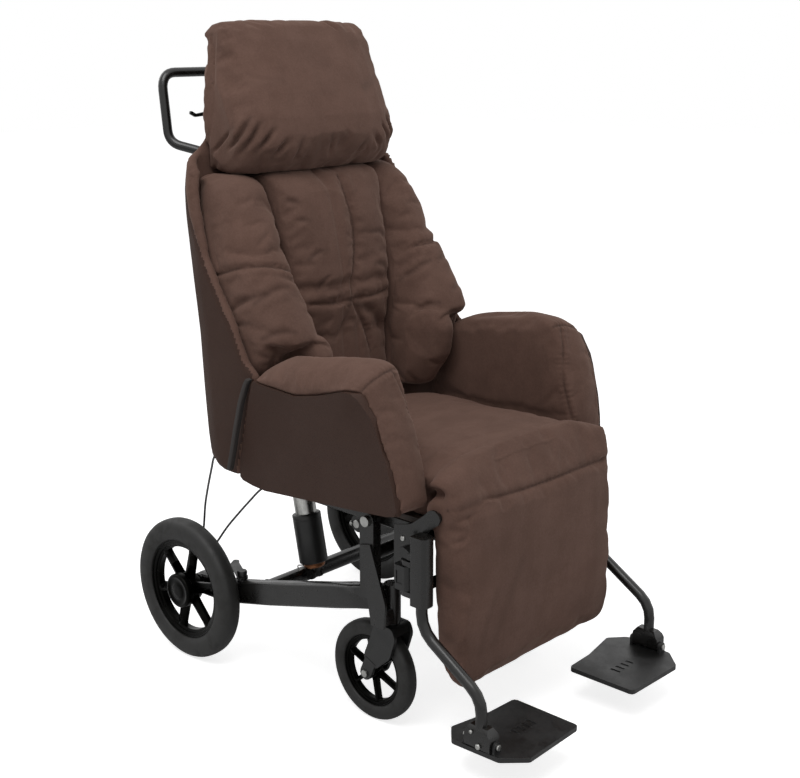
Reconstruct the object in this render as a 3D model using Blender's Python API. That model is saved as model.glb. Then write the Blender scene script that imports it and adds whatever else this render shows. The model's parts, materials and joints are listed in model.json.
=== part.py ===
"""Indoor wheelchair: a padded shell chair that tilts and reclines on an attendant-pushed chassis.

All sizes are in metres. The chair faces -Y and stands on z = 0. Heights, and distances along Y, are
measured from the ground under the rear axle, which is the root of the tree of joints.
"""
import math

import bmesh
import bpy
from mathutils import Matrix, Vector

# Fits
GAP = 0.0003
RUN = 0.0002
SOFT_GAP = 0.004

# Rear wheels
REAR_RADIUS = 0.150
REAR_TRACK = 0.281
REAR_TYRE_WIDTH = 0.044
REAR_TYRE_DEPTH = 0.044
REAR_RIM_DEPTH = 0.016
REAR_RIM_INNER = REAR_RADIUS - REAR_TYRE_DEPTH - REAR_RIM_DEPTH
REAR_HUB_RADIUS = 0.030
REAR_HUB_INNER = 0.2575
REAR_HUB_OUTER = 0.2945
REAR_AXLE_RADIUS = 0.006
REAR_AXLE_END = 0.2935
REAR_CAP_RADIUS = 0.0365
REAR_CAP_DEPTH = 0.017
REAR_SPOKES = 6
REAR_FACETS = 20

# Casters
CASTER_RADIUS = 0.100
CASTER_TRACK = 0.210
CASTER_STEM_Y = -0.520
CASTER_TRAIL = 0.046
CASTER_TYRE_WIDTH = 0.032
CASTER_TYRE_DEPTH = 0.029
CASTER_RIM_DEPTH = 0.011
CASTER_RIM_INNER = CASTER_RADIUS - CASTER_TYRE_DEPTH - CASTER_RIM_DEPTH
CASTER_SPOKES = 6
CASTER_FACETS = 16
CASTER_HUB_RADIUS = 0.014
CASTER_HUB_WIDTH = 0.036
CASTER_AXLE_RADIUS = 0.004
FORK_BLADE = 0.007
FORK_STEM_RADIUS = 0.008
FORK_CROWN_TOP = 0.2110
HOUSING_RADIUS = 0.016
HOUSING_BOTTOM = 0.2125
HOUSING_TOP = 0.290

# Base frame
RAIL_X = 0.240
RAIL_WIDTH = 0.028
RAIL_HEIGHT = 0.048
AXLE_BOSS_RADIUS = 0.022
AXLE_BOSS_PROUD = 0.0005
CROSS_TUBE_Y = -0.192
CROSS_TUBE_Z = 0.188
CROSS_TUBE_RADIUS = 0.016
POST_X = 0.2375
POST_WIDTH = 0.020
POST_DEPTH = 0.035
POST_TOP = 0.4300
GUSSET = 0.005

# Seat tilt, measured at the pivot through the post tops
TILT_Y = -0.490
TILT_Z = 0.4145
TILT_BOLT_RADIUS = 0.006

# Tilt strut
STRUT_X = -0.120
STRUT_LOW_Y = -0.219
STRUT_LOW_Z = 0.194
STRUT_HIGH_Y = -0.1741
SLEEVE_RADIUS = 0.0295
SLEEVE_START = 0.0260
SLEEVE_END = 0.130
STRUT_TUBE_RADIUS = 0.022
STRUT_TUBE_START = 0.113
STRUT_ROD_RADIUS = 0.008
STRUT_ROD_END = 0.122
STRUT_EYE_RADIUS = 0.0095
STRUT_EYE_WIDTH = 0.016
STRUT_PIN_RADIUS = 0.004
STRUT_PIN_PLAY = 0.0020
STRUT_NECK_RADIUS = 0.0095
COLLAR_RADIUS = 0.0225
COLLAR_START = 0.0150
COLLAR_HEIGHT = 0.0105
CLIP_WIRE_RADIUS = 0.0012

# Seat frame
FRAME_TUBE = 0.025
FRAME_RAIL_X = 0.2085
FRAME_TOP = 0.4270
FRAME_FRONT_Y = -0.585
FRAME_REAR_Y = -0.154
FRAME_HALF = 0.2485
TAB = 0.004
BOARD_THICKNESS = 0.012
BOARD_FRONT_Y = -0.615
BOARD_REAR_Y = -0.150

# Back recline
RECLINE_Y = -0.200
RECLINE_Z = 0.455
RECLINE_BOLT_RADIUS = 0.004
HINGE_PLATE = 0.0045
HINGE_PLATE_X = 0.2200
HINGE_PLATE_PLAY = 0.0020
BACK_TUBE_Z = 0.500
BACK_TUBE_RADIUS = 0.011
SPRING_X = 0.110
SPRING_FRONT_Y = -0.450
SPRING_REAR_Y = -0.115
SPRING_Z = 0.382
SPRING_RADIUS = 0.014
SPRING_BODY_END = 0.195
SPRING_ROD_RADIUS = 0.005
SPRING_ROD_START = 0.120
SPRING_EYE_RADIUS = 0.0105
SPRING_EYE_WIDTH = 0.012
SPRING_PIN_RADIUS = 0.004
SPRING_PIN_PLAY = 0.0028

# Arms
ARM_INNER_X = 0.2222
ARM_OUTER_LOW = 0.3050
ARM_OUTER_HIGH = 0.3250
ARM_LOW_Z = 0.470
ARM_HIGH_Z = 0.660
ARM_PANEL = 0.012
STRIPE_GAP = 0.004

# Back shell
SHELL_WALL = 0.018
SHELL_HALF = 0.300
SHELL_TOP_HALF = 0.185
SHELL_TOP_Z = 1.262
HEAD_LOW_Z = 1.0135
HEAD_DRAWN = 0.2485

# Push bar
BAR_RADIUS = 0.0095
BAR_HALF = 0.200
BAR_GRIP_Y = 0.120
BAR_GRIP_Z = 1.197
BAR_FLANGE_X = 0.155
BAR_FLANGE_Z = 1.040
BAR_CORNER = 0.035

# Leg rest
LEG_Y = -0.655
LEG_Z = 0.462
LEG_NOSE = 0.035
LEG_PIN_RADIUS = 0.004
LEG_LINK_X = FRAME_HALF - 0.009
LEG_LINK = 0.0035
CALF_HALF = FRAME_HALF - 0.010
CALF_BACK_Y = -0.637
CALF_BOARD = 0.012
CALF_BOARD_HALF = CALF_HALF - 0.0385

# Hangers
HANGER_X = FRAME_HALF + 0.0165
HANGER_Y = -0.607
HANGER_PIN_RADIUS = 0.005
HANGER_TUBE_RADIUS = 0.0105
RECEIVER_BOTTOM = 0.322
RECEIVER_TOP = 0.368
HANGER_LUG = 0.010
SLEEVE_TOP_Z = 0.430
LATCH_PIN_Y = -0.6215
LATCH_PIN_Z = 0.3900

# Footplates
FOOT_TOP = 0.076
FOOT_THICKNESS = 0.009
FOOT_FRONT = 0.866
FOOT_PIN_X = HANGER_X - 0.0025
FOOT_PIN_Z = 0.0885
FOOT_PIN_RADIUS = 0.0035
FOOT_BLOCK_FRONT = -0.810
FOOT_BLOCK_REAR = -0.753
FOOT_BLOCK_ROUND = 0.0115
FOOT_BLOCK_OUTER = HANGER_X + 0.0125
FOOT_BLOCK_TOP = 0.118

# Wheel brakes
BRAKE_X = 0.243
BRAKE_Y = -0.130
BRAKE_LEVER_Z = 0.1960
BRAKE_LEVER = 0.005

# The root lies behind the middle of the chair's length, which runs from footplates to rear tyres.
ROOT_Y = (FOOT_FRONT - REAR_RADIUS) / 2
SIDES = (("left", 1.0), ("right", -1.0))


def clear_scene():
    """Removes every object of the open scene."""
    for old in list(bpy.data.objects):
        bpy.data.objects.remove(old, do_unlink=True)


def material(name, colour, roughness, metallic=0.0):
    """Returns a Principled material; the colour is given as 8-bit display values."""
    made = bpy.data.materials.new(name)
    made.use_nodes = True
    shader = made.node_tree.nodes["Principled BSDF"]
    linear = [((c / 255 + 0.055) / 1.055) ** 2.4 if c > 10 else c / 255 / 12.92 for c in colour]
    shader.inputs["Base Color"].default_value = (*linear, 1.0)
    shader.inputs["Roughness"].default_value = roughness
    shader.inputs["Metallic"].default_value = metallic
    return made


def new_object(name, bm):
    """Turns a bmesh into a linked object with its faces pointing out."""
    bmesh.ops.recalc_face_normals(bm, faces=bm.faces)
    mesh = bpy.data.meshes.new(name)
    bm.to_mesh(mesh)
    bm.free()
    made = bpy.data.objects.new(name, mesh)
    bpy.context.scene.collection.objects.link(made)
    return made


def fillet(corners, radii, steps=4):
    """Rounds the corners of a closed outline; a radius of zero keeps a corner."""
    points = []
    count = len(corners)
    for i, corner in enumerate(corners):
        radius = radii[i] if isinstance(radii, (list, tuple)) else radii
        here = Vector(corner)
        before = Vector(corners[i - 1]) - here
        after = Vector(corners[(i + 1) % count]) - here
        angle = before.angle(after)
        if radius <= 0 or angle > math.radians(179.8):
            points.append(tuple(here))
            continue
        reach = min(radius / math.tan(angle / 2), before.length * 0.49, after.length * 0.49)
        radius = reach * math.tan(angle / 2)
        centre = here + (before.normalized() + after.normalized()).normalized() * radius / math.sin(angle / 2)
        start = here + before.normalized() * reach - centre
        end = here + after.normalized() * reach - centre
        sweep_angle = start.angle(end)
        for k in range(steps + 1):
            t = k / steps
            a = math.sin((1 - t) * sweep_angle) / math.sin(sweep_angle)
            b = math.sin(t * sweep_angle) / math.sin(sweep_angle)
            points.append(tuple(centre + start * a + end * b))
    return points


def in_space(axis, u, v, w):
    """Places a drawing's u, v at the depth w along an axis: x draws y, z; y draws x, z; z draws x, y."""
    return {"x": (w, u, v), "y": (u, w, v), "z": (u, v, w)}[axis]


def prism(outline, axis, low, high):
    """Extrudes a closed outline along one axis."""
    bm = bmesh.new()
    face = bm.faces.new([bm.verts.new(in_space(axis, u, v, low)) for u, v in outline])
    grown = bmesh.ops.extrude_face_region(bm, geom=[face])
    step = Vector(in_space(axis, 0, 0, high - low))
    bmesh.ops.translate(bm, vec=step, verts=[g for g in grown["geom"] if isinstance(g, bmesh.types.BMVert)])
    return new_object("prism", bm)


def box(x0, x1, y0, y1, z0, z1):
    """A block between two corners."""
    return prism([(x0, y0), (x1, y0), (x1, y1), (x0, y1)], "z", z0, z1)


def basis(direction):
    """Two unit vectors square to a direction; the first lies as near +Z as it can."""
    along = Vector(direction).normalized()
    guide = Vector((0, 0, 1)) if abs(along.z) < 0.9 else Vector((0, 1, 0))
    first = (guide - along * guide.dot(along)).normalized()
    return along, first, along.cross(first)


def turned(profile, origin, direction, steps=12):
    """Revolves a profile of (distance along the axis, radius) points about an axis."""
    along, first, second = basis(direction)
    origin = Vector(origin)
    bm = bmesh.new()
    rings = []
    for s, r in profile:
        if r <= 0:
            rings.append([bm.verts.new(origin + along * s)])
            continue
        ring = []
        for k in range(steps):
            a = 2 * math.pi * k / steps
            ring.append(bm.verts.new(origin + along * s + (first * math.cos(a) + second * math.sin(a)) * r))
        rings.append(ring)
    closed = profile[0][1] > 0 and profile[-1][1] > 0
    pairs = list(zip(rings, rings[1:]))
    if closed:
        pairs.append((rings[-1], rings[0]))
    for low, high in pairs:
        for k in range(steps):
            corners = [low[k % len(low)], low[(k + 1) % len(low)], high[(k + 1) % len(high)], high[k % len(high)]]
            distinct = list(dict.fromkeys(corners))
            if len(distinct) > 2:
                bm.faces.new(distinct)
    return new_object("turned", bm)


def bore(radius, sides):
    """The radius of a hole whose flats clear the corners of a pin that turns in it."""
    return radius / math.cos(math.pi / sides) + RUN


def rod(start, end, radius, steps=10):
    """A round bar between two points."""
    length = (Vector(end) - Vector(start)).length
    direction = Vector(end) - Vector(start)
    return turned([(0, 0), (0, radius), (length, radius), (length, 0)], start, direction, steps)


def bend(points, radius, steps=4):
    """Rounds the inner corners of a route in space."""
    out = [Vector(points[0])]
    for before, here, after in zip(points, points[1:], points[2:]):
        here = Vector(here)
        back = Vector(before) - here
        on = Vector(after) - here
        angle = back.angle(on)
        if angle > math.radians(177):
            out.append(here)
            continue
        reach = min(radius / math.tan(angle / 2), back.length * 0.48, on.length * 0.48)
        size = reach * math.tan(angle / 2)
        centre = here + (back.normalized() + on.normalized()).normalized() * size / math.sin(angle / 2)
        start = here + back.normalized() * reach - centre
        end = here + on.normalized() * reach - centre
        turn = start.angle(end)
        for k in range(steps + 1):
            t = k / steps
            out.append(centre + start * (math.sin((1 - t) * turn) / math.sin(turn))
                       + end * (math.sin(t * turn) / math.sin(turn)))
    out.append(Vector(points[-1]))
    return out


def sweep(route, section, upright=(0, 0, 1)):
    """Carries a section of (across, up) points along a route, mitred where the route turns."""
    route = [Vector(p) for p in route]
    upright = Vector(upright)
    bm = bmesh.new()
    rings = []
    for i, here in enumerate(route):
        into = (here - route[i - 1]).normalized() if i else (route[1] - here).normalized()
        out = (route[i + 1] - here).normalized() if i < len(route) - 1 else into
        ahead = (into + out).normalized()
        across = out.cross(upright).normalized()
        up = across.cross(out)
        ring = []
        for a, u in section:
            offset = across * a + up * u
            offset -= out * (offset.dot(ahead) / out.dot(ahead))
            ring.append(bm.verts.new(here + offset))
        rings.append(ring)
    count = len(section)
    for low, high in zip(rings, rings[1:]):
        for k in range(count):
            bm.faces.new([low[k], low[(k + 1) % count], high[(k + 1) % count], high[k]])
    bm.faces.new(rings[0])
    bm.faces.new(rings[-1])
    return new_object("sweep", bm)


def round_section(radius, steps=8):
    """A circle for a swept tube."""
    return [(radius * math.cos(2 * math.pi * k / steps), radius * math.sin(2 * math.pi * k / steps))
            for k in range(steps)]


def loft(rings):
    """Joins closed rings of equal counts into a solid, closed by a fan at each end."""
    bm = bmesh.new()
    made = [[bm.verts.new(p) for p in ring] for ring in rings]
    count = len(made[0])
    for low, high in zip(made, made[1:]):
        for k in range(count):
            bm.faces.new([low[k], low[(k + 1) % count], high[(k + 1) % count], high[k]])
    for ring in (made[0], made[-1]):
        middle = sum((v.co for v in ring), Vector()) / count
        hub = bm.verts.new(middle)
        for k in range(count):
            bm.faces.new([ring[k], ring[(k + 1) % count], hub])
    return new_object("loft", bm)


def boolean(base, tools, operation):
    """Unites, cuts or intersects a solid with others, and removes the others."""
    for tool in tools:
        step = base.modifiers.new("step", "BOOLEAN")
        step.operation = operation
        step.object = tool
        step.solver = "EXACT"
    graph = bpy.context.evaluated_depsgraph_get()
    graph.update()
    result = bpy.data.meshes.new_from_object(base.evaluated_get(graph))
    base.modifiers.clear()
    base.data = result
    for tool in tools:
        bpy.data.objects.remove(tool, do_unlink=True)
    return base


def union(base, *tools):
    """One body from solids that run into each other."""
    return boolean(base, tools, "UNION")


def cut(base, *tools):
    """A solid less the others."""
    return boolean(base, tools, "DIFFERENCE")


def common(base, *tools):
    """What a solid shares with the others."""
    return boolean(base, tools, "INTERSECT")


def copy_of(made):
    """An independent copy of a solid."""
    twin = made.copy()
    twin.data = made.data.copy()
    bpy.context.scene.collection.objects.link(twin)
    return twin


def gather(parts):
    """Several solids that don't touch, as one tool."""
    bm = bmesh.new()
    for made in parts:
        bm.from_mesh(made.data)
        bpy.data.objects.remove(made, do_unlink=True)
    return new_object("group", bm)


def mirrored(made, sign):
    """The solid itself for the left side, its mirror image for the right."""
    if sign > 0:
        return made
    bm = bmesh.new()
    bm.from_mesh(made.data)
    bmesh.ops.scale(bm, vec=(-1, 1, 1), verts=bm.verts)
    bpy.data.objects.remove(made, do_unlink=True)
    return new_object("mirrored", bm)


def joint(name, pivot, parent=None):
    """An empty on a joint's axis; all that moves there is parented to it."""
    empty = bpy.data.objects.new(name, None)
    bpy.context.scene.collection.objects.link(empty)
    empty["pivot"] = list(pivot)
    if parent:
        empty.parent = parent
        empty.location = Vector(pivot) - Vector(parent["pivot"])
    else:
        empty.location = Vector(pivot) + Vector((0, ROOT_Y, 0))
    return empty


def place(name, made, body, finish, sharp=35.0):
    """Names a finished solid, gives it its material and hangs it on its body's joint."""
    pivot = Vector(body["pivot"])
    made.data.transform(Matrix.Translation(-pivot))
    made.name = name
    made.data.name = name
    made.parent = body
    made.data.materials.clear()
    made.data.materials.append(finish)
    made.data.polygons.foreach_set("material_index", [0] * len(made.data.polygons))
    made.data.shade_smooth()
    made.data.set_sharp_from_angle(angle=math.radians(sharp))
    return made


def lug(anchor, eye, radius, steps=5):
    """An outline with a round end about an eye and straight sides back to its anchor."""
    anchor = Vector(anchor)
    eye = Vector(eye)
    ahead = (eye - anchor).normalized()
    aside = Vector((-ahead.y, ahead.x))
    points = [tuple(anchor + aside * radius)]
    for k in range(steps + 1):
        a = math.pi * k / steps
        points.append(tuple(eye + aside * radius * math.cos(a) + ahead * radius * math.sin(a)))
    points.append(tuple(anchor - aside * radius))
    return points


def fork(x, gap, plate, outline, pin, pin_radius):
    """Two like plates either side of x, with the pin that crosses them."""
    near = prism(outline, "x", x - gap / 2 - plate, x - gap / 2)
    far = prism(outline, "x", x + gap / 2, x + gap / 2 + plate)
    reach = gap / 2 + plate + 0.001
    cross = rod((x - reach, *pin), (x + reach, *pin), pin_radius, 8)
    return union(cross, gather([near, far]))


def tyre_profile(radius, depth, width, count=8, power=2.4):
    """A full, slightly squared tyre section as (distance across, radius) points."""
    points = []
    for k in range(count):
        a = 2 * math.pi * (k + 0.5) / count
        across = math.copysign(abs(math.cos(a)) ** (2 / power), math.cos(a)) * width / 2
        out = math.copysign(abs(math.sin(a)) ** (2 / power), math.sin(a)) * depth / 2
        points.append((across, radius - depth / 2 + out))
    reach = max(abs(r - radius + depth / 2) for s, r in points)
    return [(s, radius - depth / 2 + (r - radius + depth / 2) * depth / 2 / reach) for s, r in points]


def spokes(centre, count, phase, inner, outer, wide_in, wide_out, edge, ridge):
    """Tapered spokes round a wheel's centre, thicker along a ridge down their middle."""
    bm = bmesh.new()
    for k in range(count):
        a = phase + 2 * math.pi * k / count
        ahead = Vector((0, math.cos(a), math.sin(a)))
        aside = Vector((0, -math.sin(a), math.cos(a)))
        rings = []
        for reach, wide in ((inner, wide_in), (outer, wide_out)):
            middle = Vector(centre) + ahead * reach
            section = [(-0.5, edge), (0.5, edge), (0.5, -edge), (-0.5, -edge)]
            if ridge > edge:
                section = [(-0.5, edge), (0, ridge), (0.5, edge), (0.5, -edge), (0, -ridge), (-0.5, -edge)]
            rings.append([bm.verts.new(middle + aside * (w * wide) + Vector((t, 0, 0))) for w, t in section])
        sides = len(rings[0])
        for i in range(sides):
            bm.faces.new([rings[0][i], rings[0][(i + 1) % sides], rings[1][(i + 1) % sides], rings[1][i]])
        bm.faces.new(rings[0])
        bm.faces.new(rings[1])
    return new_object("spokes", bm)


def rear_wheel(side, sign, base, looks):
    """A spoked rear wheel with its tyre and hub cap, and the axle bolt in the base frame."""
    centre = (REAR_TRACK, 0, REAR_RADIUS)
    along = (1, 0, 0)
    wheel = joint(f"rear_wheel_{side}_spin", (REAR_TRACK * sign, 0, REAR_RADIUS), base)
    tyre = turned(tyre_profile(REAR_RADIUS, REAR_TYRE_DEPTH, REAR_TYRE_WIDTH), centre, along, REAR_FACETS)
    seat = REAR_RADIUS - REAR_TYRE_DEPTH - GAP
    inner = REAR_RIM_INNER
    half = REAR_TYRE_WIDTH * 0.33
    ring = turned([(-half, inner), (-half, seat), (half, seat), (half, inner)], centre, along, REAR_FACETS)
    hole = bore(REAR_AXLE_RADIUS, 12)
    low = REAR_HUB_INNER - REAR_TRACK
    high = REAR_HUB_OUTER - REAR_TRACK
    hub = turned([(low, hole), (low, 0.018), (low + 0.010, REAR_HUB_RADIUS), (high, REAR_HUB_RADIUS), (high, hole)],
                 centre, along, 12)
    start = REAR_HUB_RADIUS - 0.005
    webs = spokes(centre, REAR_SPOKES, math.radians(75), start, inner + 0.006, 0.026, 0.022, 0.0040, 0.0090)
    rim = union(gather([ring, hub]), webs)
    cap = turned([(0, 0), (0, REAR_CAP_RADIUS), (REAR_CAP_DEPTH - 0.003, REAR_CAP_RADIUS),
                  (REAR_CAP_DEPTH, REAR_CAP_RADIUS - 0.004), (REAR_CAP_DEPTH, 0)],
                 (REAR_HUB_OUTER + GAP, 0, REAR_RADIUS), along, 16)
    spacer_out = REAR_HUB_INNER - GAP
    spacer_in = RAIL_X + RAIL_WIDTH / 2 + AXLE_BOSS_PROUD + GAP
    head = RAIL_X - RAIL_WIDTH / 2 - AXLE_BOSS_PROUD - GAP
    r = REAR_AXLE_RADIUS
    end = REAR_AXLE_END
    axle = turned([(0, 0), (0, r), (end - spacer_out, r), (end - spacer_out, 0.0105), (end - spacer_in, 0.0105),
                   (end - spacer_in, r), (end - head, r), (end - head, 0.0100), (end - head + 0.006, 0.0100),
                   (end - head + 0.006, 0)], (end, 0, REAR_RADIUS), (-1, 0, 0), 12)
    place(f"rear_tyre_{side}", mirrored(tyre, sign), wheel, looks["tyre"])
    place(f"rear_rim_{side}", mirrored(rim, sign), wheel, looks["plastic"])
    place(f"rear_hub_cap_{side}", mirrored(cap, sign), wheel, looks["plastic"])
    place(f"rear_axle_{side}", mirrored(axle, sign), base, looks["steel"])


def caster(side, sign, base, looks):
    """A swivelling caster: the fork with its stem, the wheel with its tyre, and the axle bolt."""
    stem = (CASTER_TRACK, CASTER_STEM_Y)
    axle_y = CASTER_STEM_Y + CASTER_TRAIL
    centre = (CASTER_TRACK, axle_y, CASTER_RADIUS)
    along = (1, 0, 0)
    swivel = joint(f"caster_{side}_swivel", (CASTER_TRACK * sign, CASTER_STEM_Y, HOUSING_BOTTOM), base)
    spin = joint(f"caster_wheel_{side}_spin", (CASTER_TRACK * sign, axle_y, CASTER_RADIUS), swivel)

    tyre = turned(tyre_profile(CASTER_RADIUS, CASTER_TYRE_DEPTH, CASTER_TYRE_WIDTH), centre, along, CASTER_FACETS)
    seat = CASTER_RADIUS - CASTER_TYRE_DEPTH - GAP
    half = CASTER_TYRE_WIDTH * 0.33
    ring = turned([(-half, CASTER_RIM_INNER), (-half, seat), (half, seat), (half, CASTER_RIM_INNER)], centre, along,
                  CASTER_FACETS)
    hole = bore(CASTER_AXLE_RADIUS, 12)
    hub = turned([(-CASTER_HUB_WIDTH / 2, hole), (-CASTER_HUB_WIDTH / 2, CASTER_HUB_RADIUS),
                  (CASTER_HUB_WIDTH / 2, CASTER_HUB_RADIUS), (CASTER_HUB_WIDTH / 2, hole)], centre, along, 12)
    webs = spokes(centre, CASTER_SPOKES, math.radians(20), CASTER_HUB_RADIUS - 0.002, CASTER_RIM_INNER + 0.004,
                  0.0105, 0.0080, 0.0065, 0)
    rim = union(gather([ring, hub]), webs)

    blade_in = CASTER_HUB_WIDTH / 2 + 0.0010
    blade_out = blade_in + FORK_BLADE
    boss = lug((axle_y - 0.013, CASTER_RADIUS + 0.030), (axle_y, CASTER_RADIUS), 0.0135, 6)
    top = FORK_CROWN_TOP
    shoulder = fillet([(CASTER_STEM_Y + 0.022, top), (CASTER_STEM_Y - 0.022, top), (CASTER_STEM_Y - 0.030, top - 0.020),
                       (CASTER_STEM_Y - 0.016, top - 0.062), (axle_y - 0.030, CASTER_RADIUS + 0.020),
                       (axle_y - 0.008, CASTER_RADIUS + 0.012), (axle_y + 0.006, CASTER_RADIUS + 0.034),
                       (CASTER_STEM_Y + 0.034, top - 0.034)],
                      [0.006, 0.010, 0.020, 0, 0, 0, 0.020, 0.020], 2)
    x = CASTER_TRACK
    blades = [prism(shoulder, "x", x + s * blade_in - (FORK_BLADE if s < 0 else 0),
                    x + s * blade_in + (FORK_BLADE if s > 0 else 0)) for s in (-1, 1)]
    bosses = [prism(boss, "x", x + s * (blade_in - 0.0004) - (FORK_BLADE + 0.0012 if s < 0 else 0),
                    x + s * (blade_in - 0.0004) + (FORK_BLADE + 0.0012 if s > 0 else 0)) for s in (-1, 1)]
    crown_low = top - 0.0170
    crown = prism(fillet([(CASTER_STEM_Y + 0.021, top - 0.0005), (CASTER_STEM_Y - 0.021, top - 0.0005),
                          (CASTER_STEM_Y - 0.027, crown_low), (CASTER_STEM_Y + 0.016, crown_low + 0.006)],
                         [0.004, 0.006, 0.0, 0.0], 2), "x", x - blade_out + 0.001, x + blade_out - 0.001)
    tyre_space = turned([(-0.0185, 0), (-0.0185, CASTER_RADIUS + 0.003), (0.0185, CASTER_RADIUS + 0.003), (0.0185, 0)],
                        centre, along, 24)
    crown = cut(crown, tyre_space)
    washer = HOUSING_BOTTOM - GAP - top + 0.003
    tip = HOUSING_TOP - 0.028 - top + 0.003
    pin = turned([(0, 0), (0, HOUSING_RADIUS - 0.002), (washer, HOUSING_RADIUS - 0.002), (washer, FORK_STEM_RADIUS),
                  (tip, FORK_STEM_RADIUS), (tip, 0)], (*stem, top - 0.003), (0, 0, 1), 12)
    frame = union(crown, gather(blades), gather(bosses), pin)
    hole = rod((x - 0.05, axle_y, CASTER_RADIUS), (x + 0.05, axle_y, CASTER_RADIUS), CASTER_AXLE_RADIUS + GAP, 10)
    frame = cut(frame, hole)
    reach = blade_out + 0.0008 + GAP
    r = CASTER_AXLE_RADIUS
    axle = turned([(-reach - 0.004, 0), (-reach - 0.004, 0.0072), (-reach, 0.0072), (-reach, r),
                   (reach, r), (reach, 0.0072), (reach + 0.004, 0.0072), (reach + 0.004, 0)], centre, along, 10)
    place(f"caster_tyre_{side}", mirrored(tyre, sign), spin, looks["tyre"])
    place(f"caster_rim_{side}", mirrored(rim, sign), spin, looks["plastic"])
    place(f"caster_fork_{side}", mirrored(frame, sign), swivel, looks["plastic"])
    place(f"caster_axle_{side}", mirrored(axle, sign), swivel, looks["steel"])


def base_frame(base, looks):
    """The welded chassis: rails, cross tubes, posts with gussets, caster housings and pivot lugs."""
    w = RAIL_WIDTH / 2
    h = RAIL_HEIGHT / 2
    section = fillet([(-w, -h), (w, -h), (w, h), (-w, h)], 0.006, 1)
    halves = []
    for side, sign in SIDES:
        route = bend([(RAIL_X, 0.002, REAR_RADIUS), (RAIL_X, -0.060, 0.1525), (RAIL_X, -0.124, 0.165),
                      (RAIL_X, -0.211, 0.187), (RAIL_X, -0.412, 0.243), (RAIL_X - 0.001, -0.470, 0.2605),
                      (CASTER_TRACK, CASTER_STEM_Y + 0.002, 0.2610)], 0.060, 1)
        rail = sweep(route, section)
        wide = w + AXLE_BOSS_PROUD
        boss = rod((RAIL_X - wide, 0, REAR_RADIUS), (RAIL_X + wide, 0, REAR_RADIUS), AXLE_BOSS_RADIUS, 16)
        housing = rod((CASTER_TRACK, CASTER_STEM_Y, HOUSING_BOTTOM), (CASTER_TRACK, CASTER_STEM_Y, HOUSING_TOP),
                      HOUSING_RADIUS, 14)
        px = POST_WIDTH / 2
        py = POST_DEPTH / 2
        post = prism(fillet([(TILT_Y - py, 0.262), (TILT_Y + py, 0.262), (TILT_Y + py, POST_TOP), (TILT_Y - py, POST_TOP)],
                            [0, 0, 0.014, 0.014], 3), "x", POST_X - px, POST_X + px)
        gusset = prism(fillet([(TILT_Y + 0.014, 0.366), (TILT_Y - 0.012, 0.372), (CASTER_STEM_Y - 0.021, 0.262),
                               (CASTER_STEM_Y - 0.016, 0.2140), (CASTER_STEM_Y + 0.016, 0.2140), (TILT_Y + 0.0, 0.290)],
                              [0, 0, 0.020, 0, 0, 0.020], 2), "x", POST_X + px - 0.001,
                       POST_X + px - 0.001 + GUSSET)
        foot = box(CASTER_TRACK + 0.004, POST_X + px + 0.001, CASTER_STEM_Y - 0.011, CASTER_STEM_Y + 0.011, 0.2145, 0.2440)
        lift = BRAKE_LEVER_Z - GAP - 0.170
        brake_boss = turned([(0, 0), (0, 0.010), (lift, 0.010), (lift, 0.004), (lift + 0.010, 0.004), (lift + 0.010, 0)],
                            (BRAKE_X, BRAKE_Y, 0.170), (0, 0, 1), 10)
        half = union(rail, boss, housing, post, foot, gusset, brake_boss)
        stem_hole = rod((CASTER_TRACK, CASTER_STEM_Y, HOUSING_BOTTOM - 0.01),
                        (CASTER_TRACK, CASTER_STEM_Y, HOUSING_TOP - 0.022), bore(FORK_STEM_RADIUS, 12), 12)
        axle_hole = rod((RAIL_X - 0.03, 0, REAR_RADIUS), (RAIL_X + 0.03, 0, REAR_RADIUS), REAR_AXLE_RADIUS + GAP, 12)
        tilt_hole = rod((POST_X - 0.02, TILT_Y, TILT_Z), (POST_X + 0.02, TILT_Y, TILT_Z), TILT_BOLT_RADIUS + RUN, 12)
        half = cut(half, stem_hole, axle_hole, tilt_hole)
        halves.append(mirrored(half, sign))
    reach = RAIL_X - 0.002
    tube = rod((-reach, CROSS_TUBE_Y, CROSS_TUBE_Z), (reach, CROSS_TUBE_Y, CROSS_TUBE_Z), CROSS_TUBE_RADIUS, 14)
    front = rod((-reach, TILT_Y, 0.345), (reach, TILT_Y, 0.345), 0.0125, 12)
    lugs = fork(STRUT_X, STRUT_EYE_WIDTH, 0.005,
                lug((CROSS_TUBE_Y - 0.002, CROSS_TUBE_Z + 0.001), (STRUT_LOW_Y, STRUT_LOW_Z), 0.0095),
                (STRUT_LOW_Y, STRUT_LOW_Z), STRUT_PIN_RADIUS)
    made = union(gather(halves), gather([tube, front]), lugs)
    place("base_frame", made, base, looks["painted"])


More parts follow.
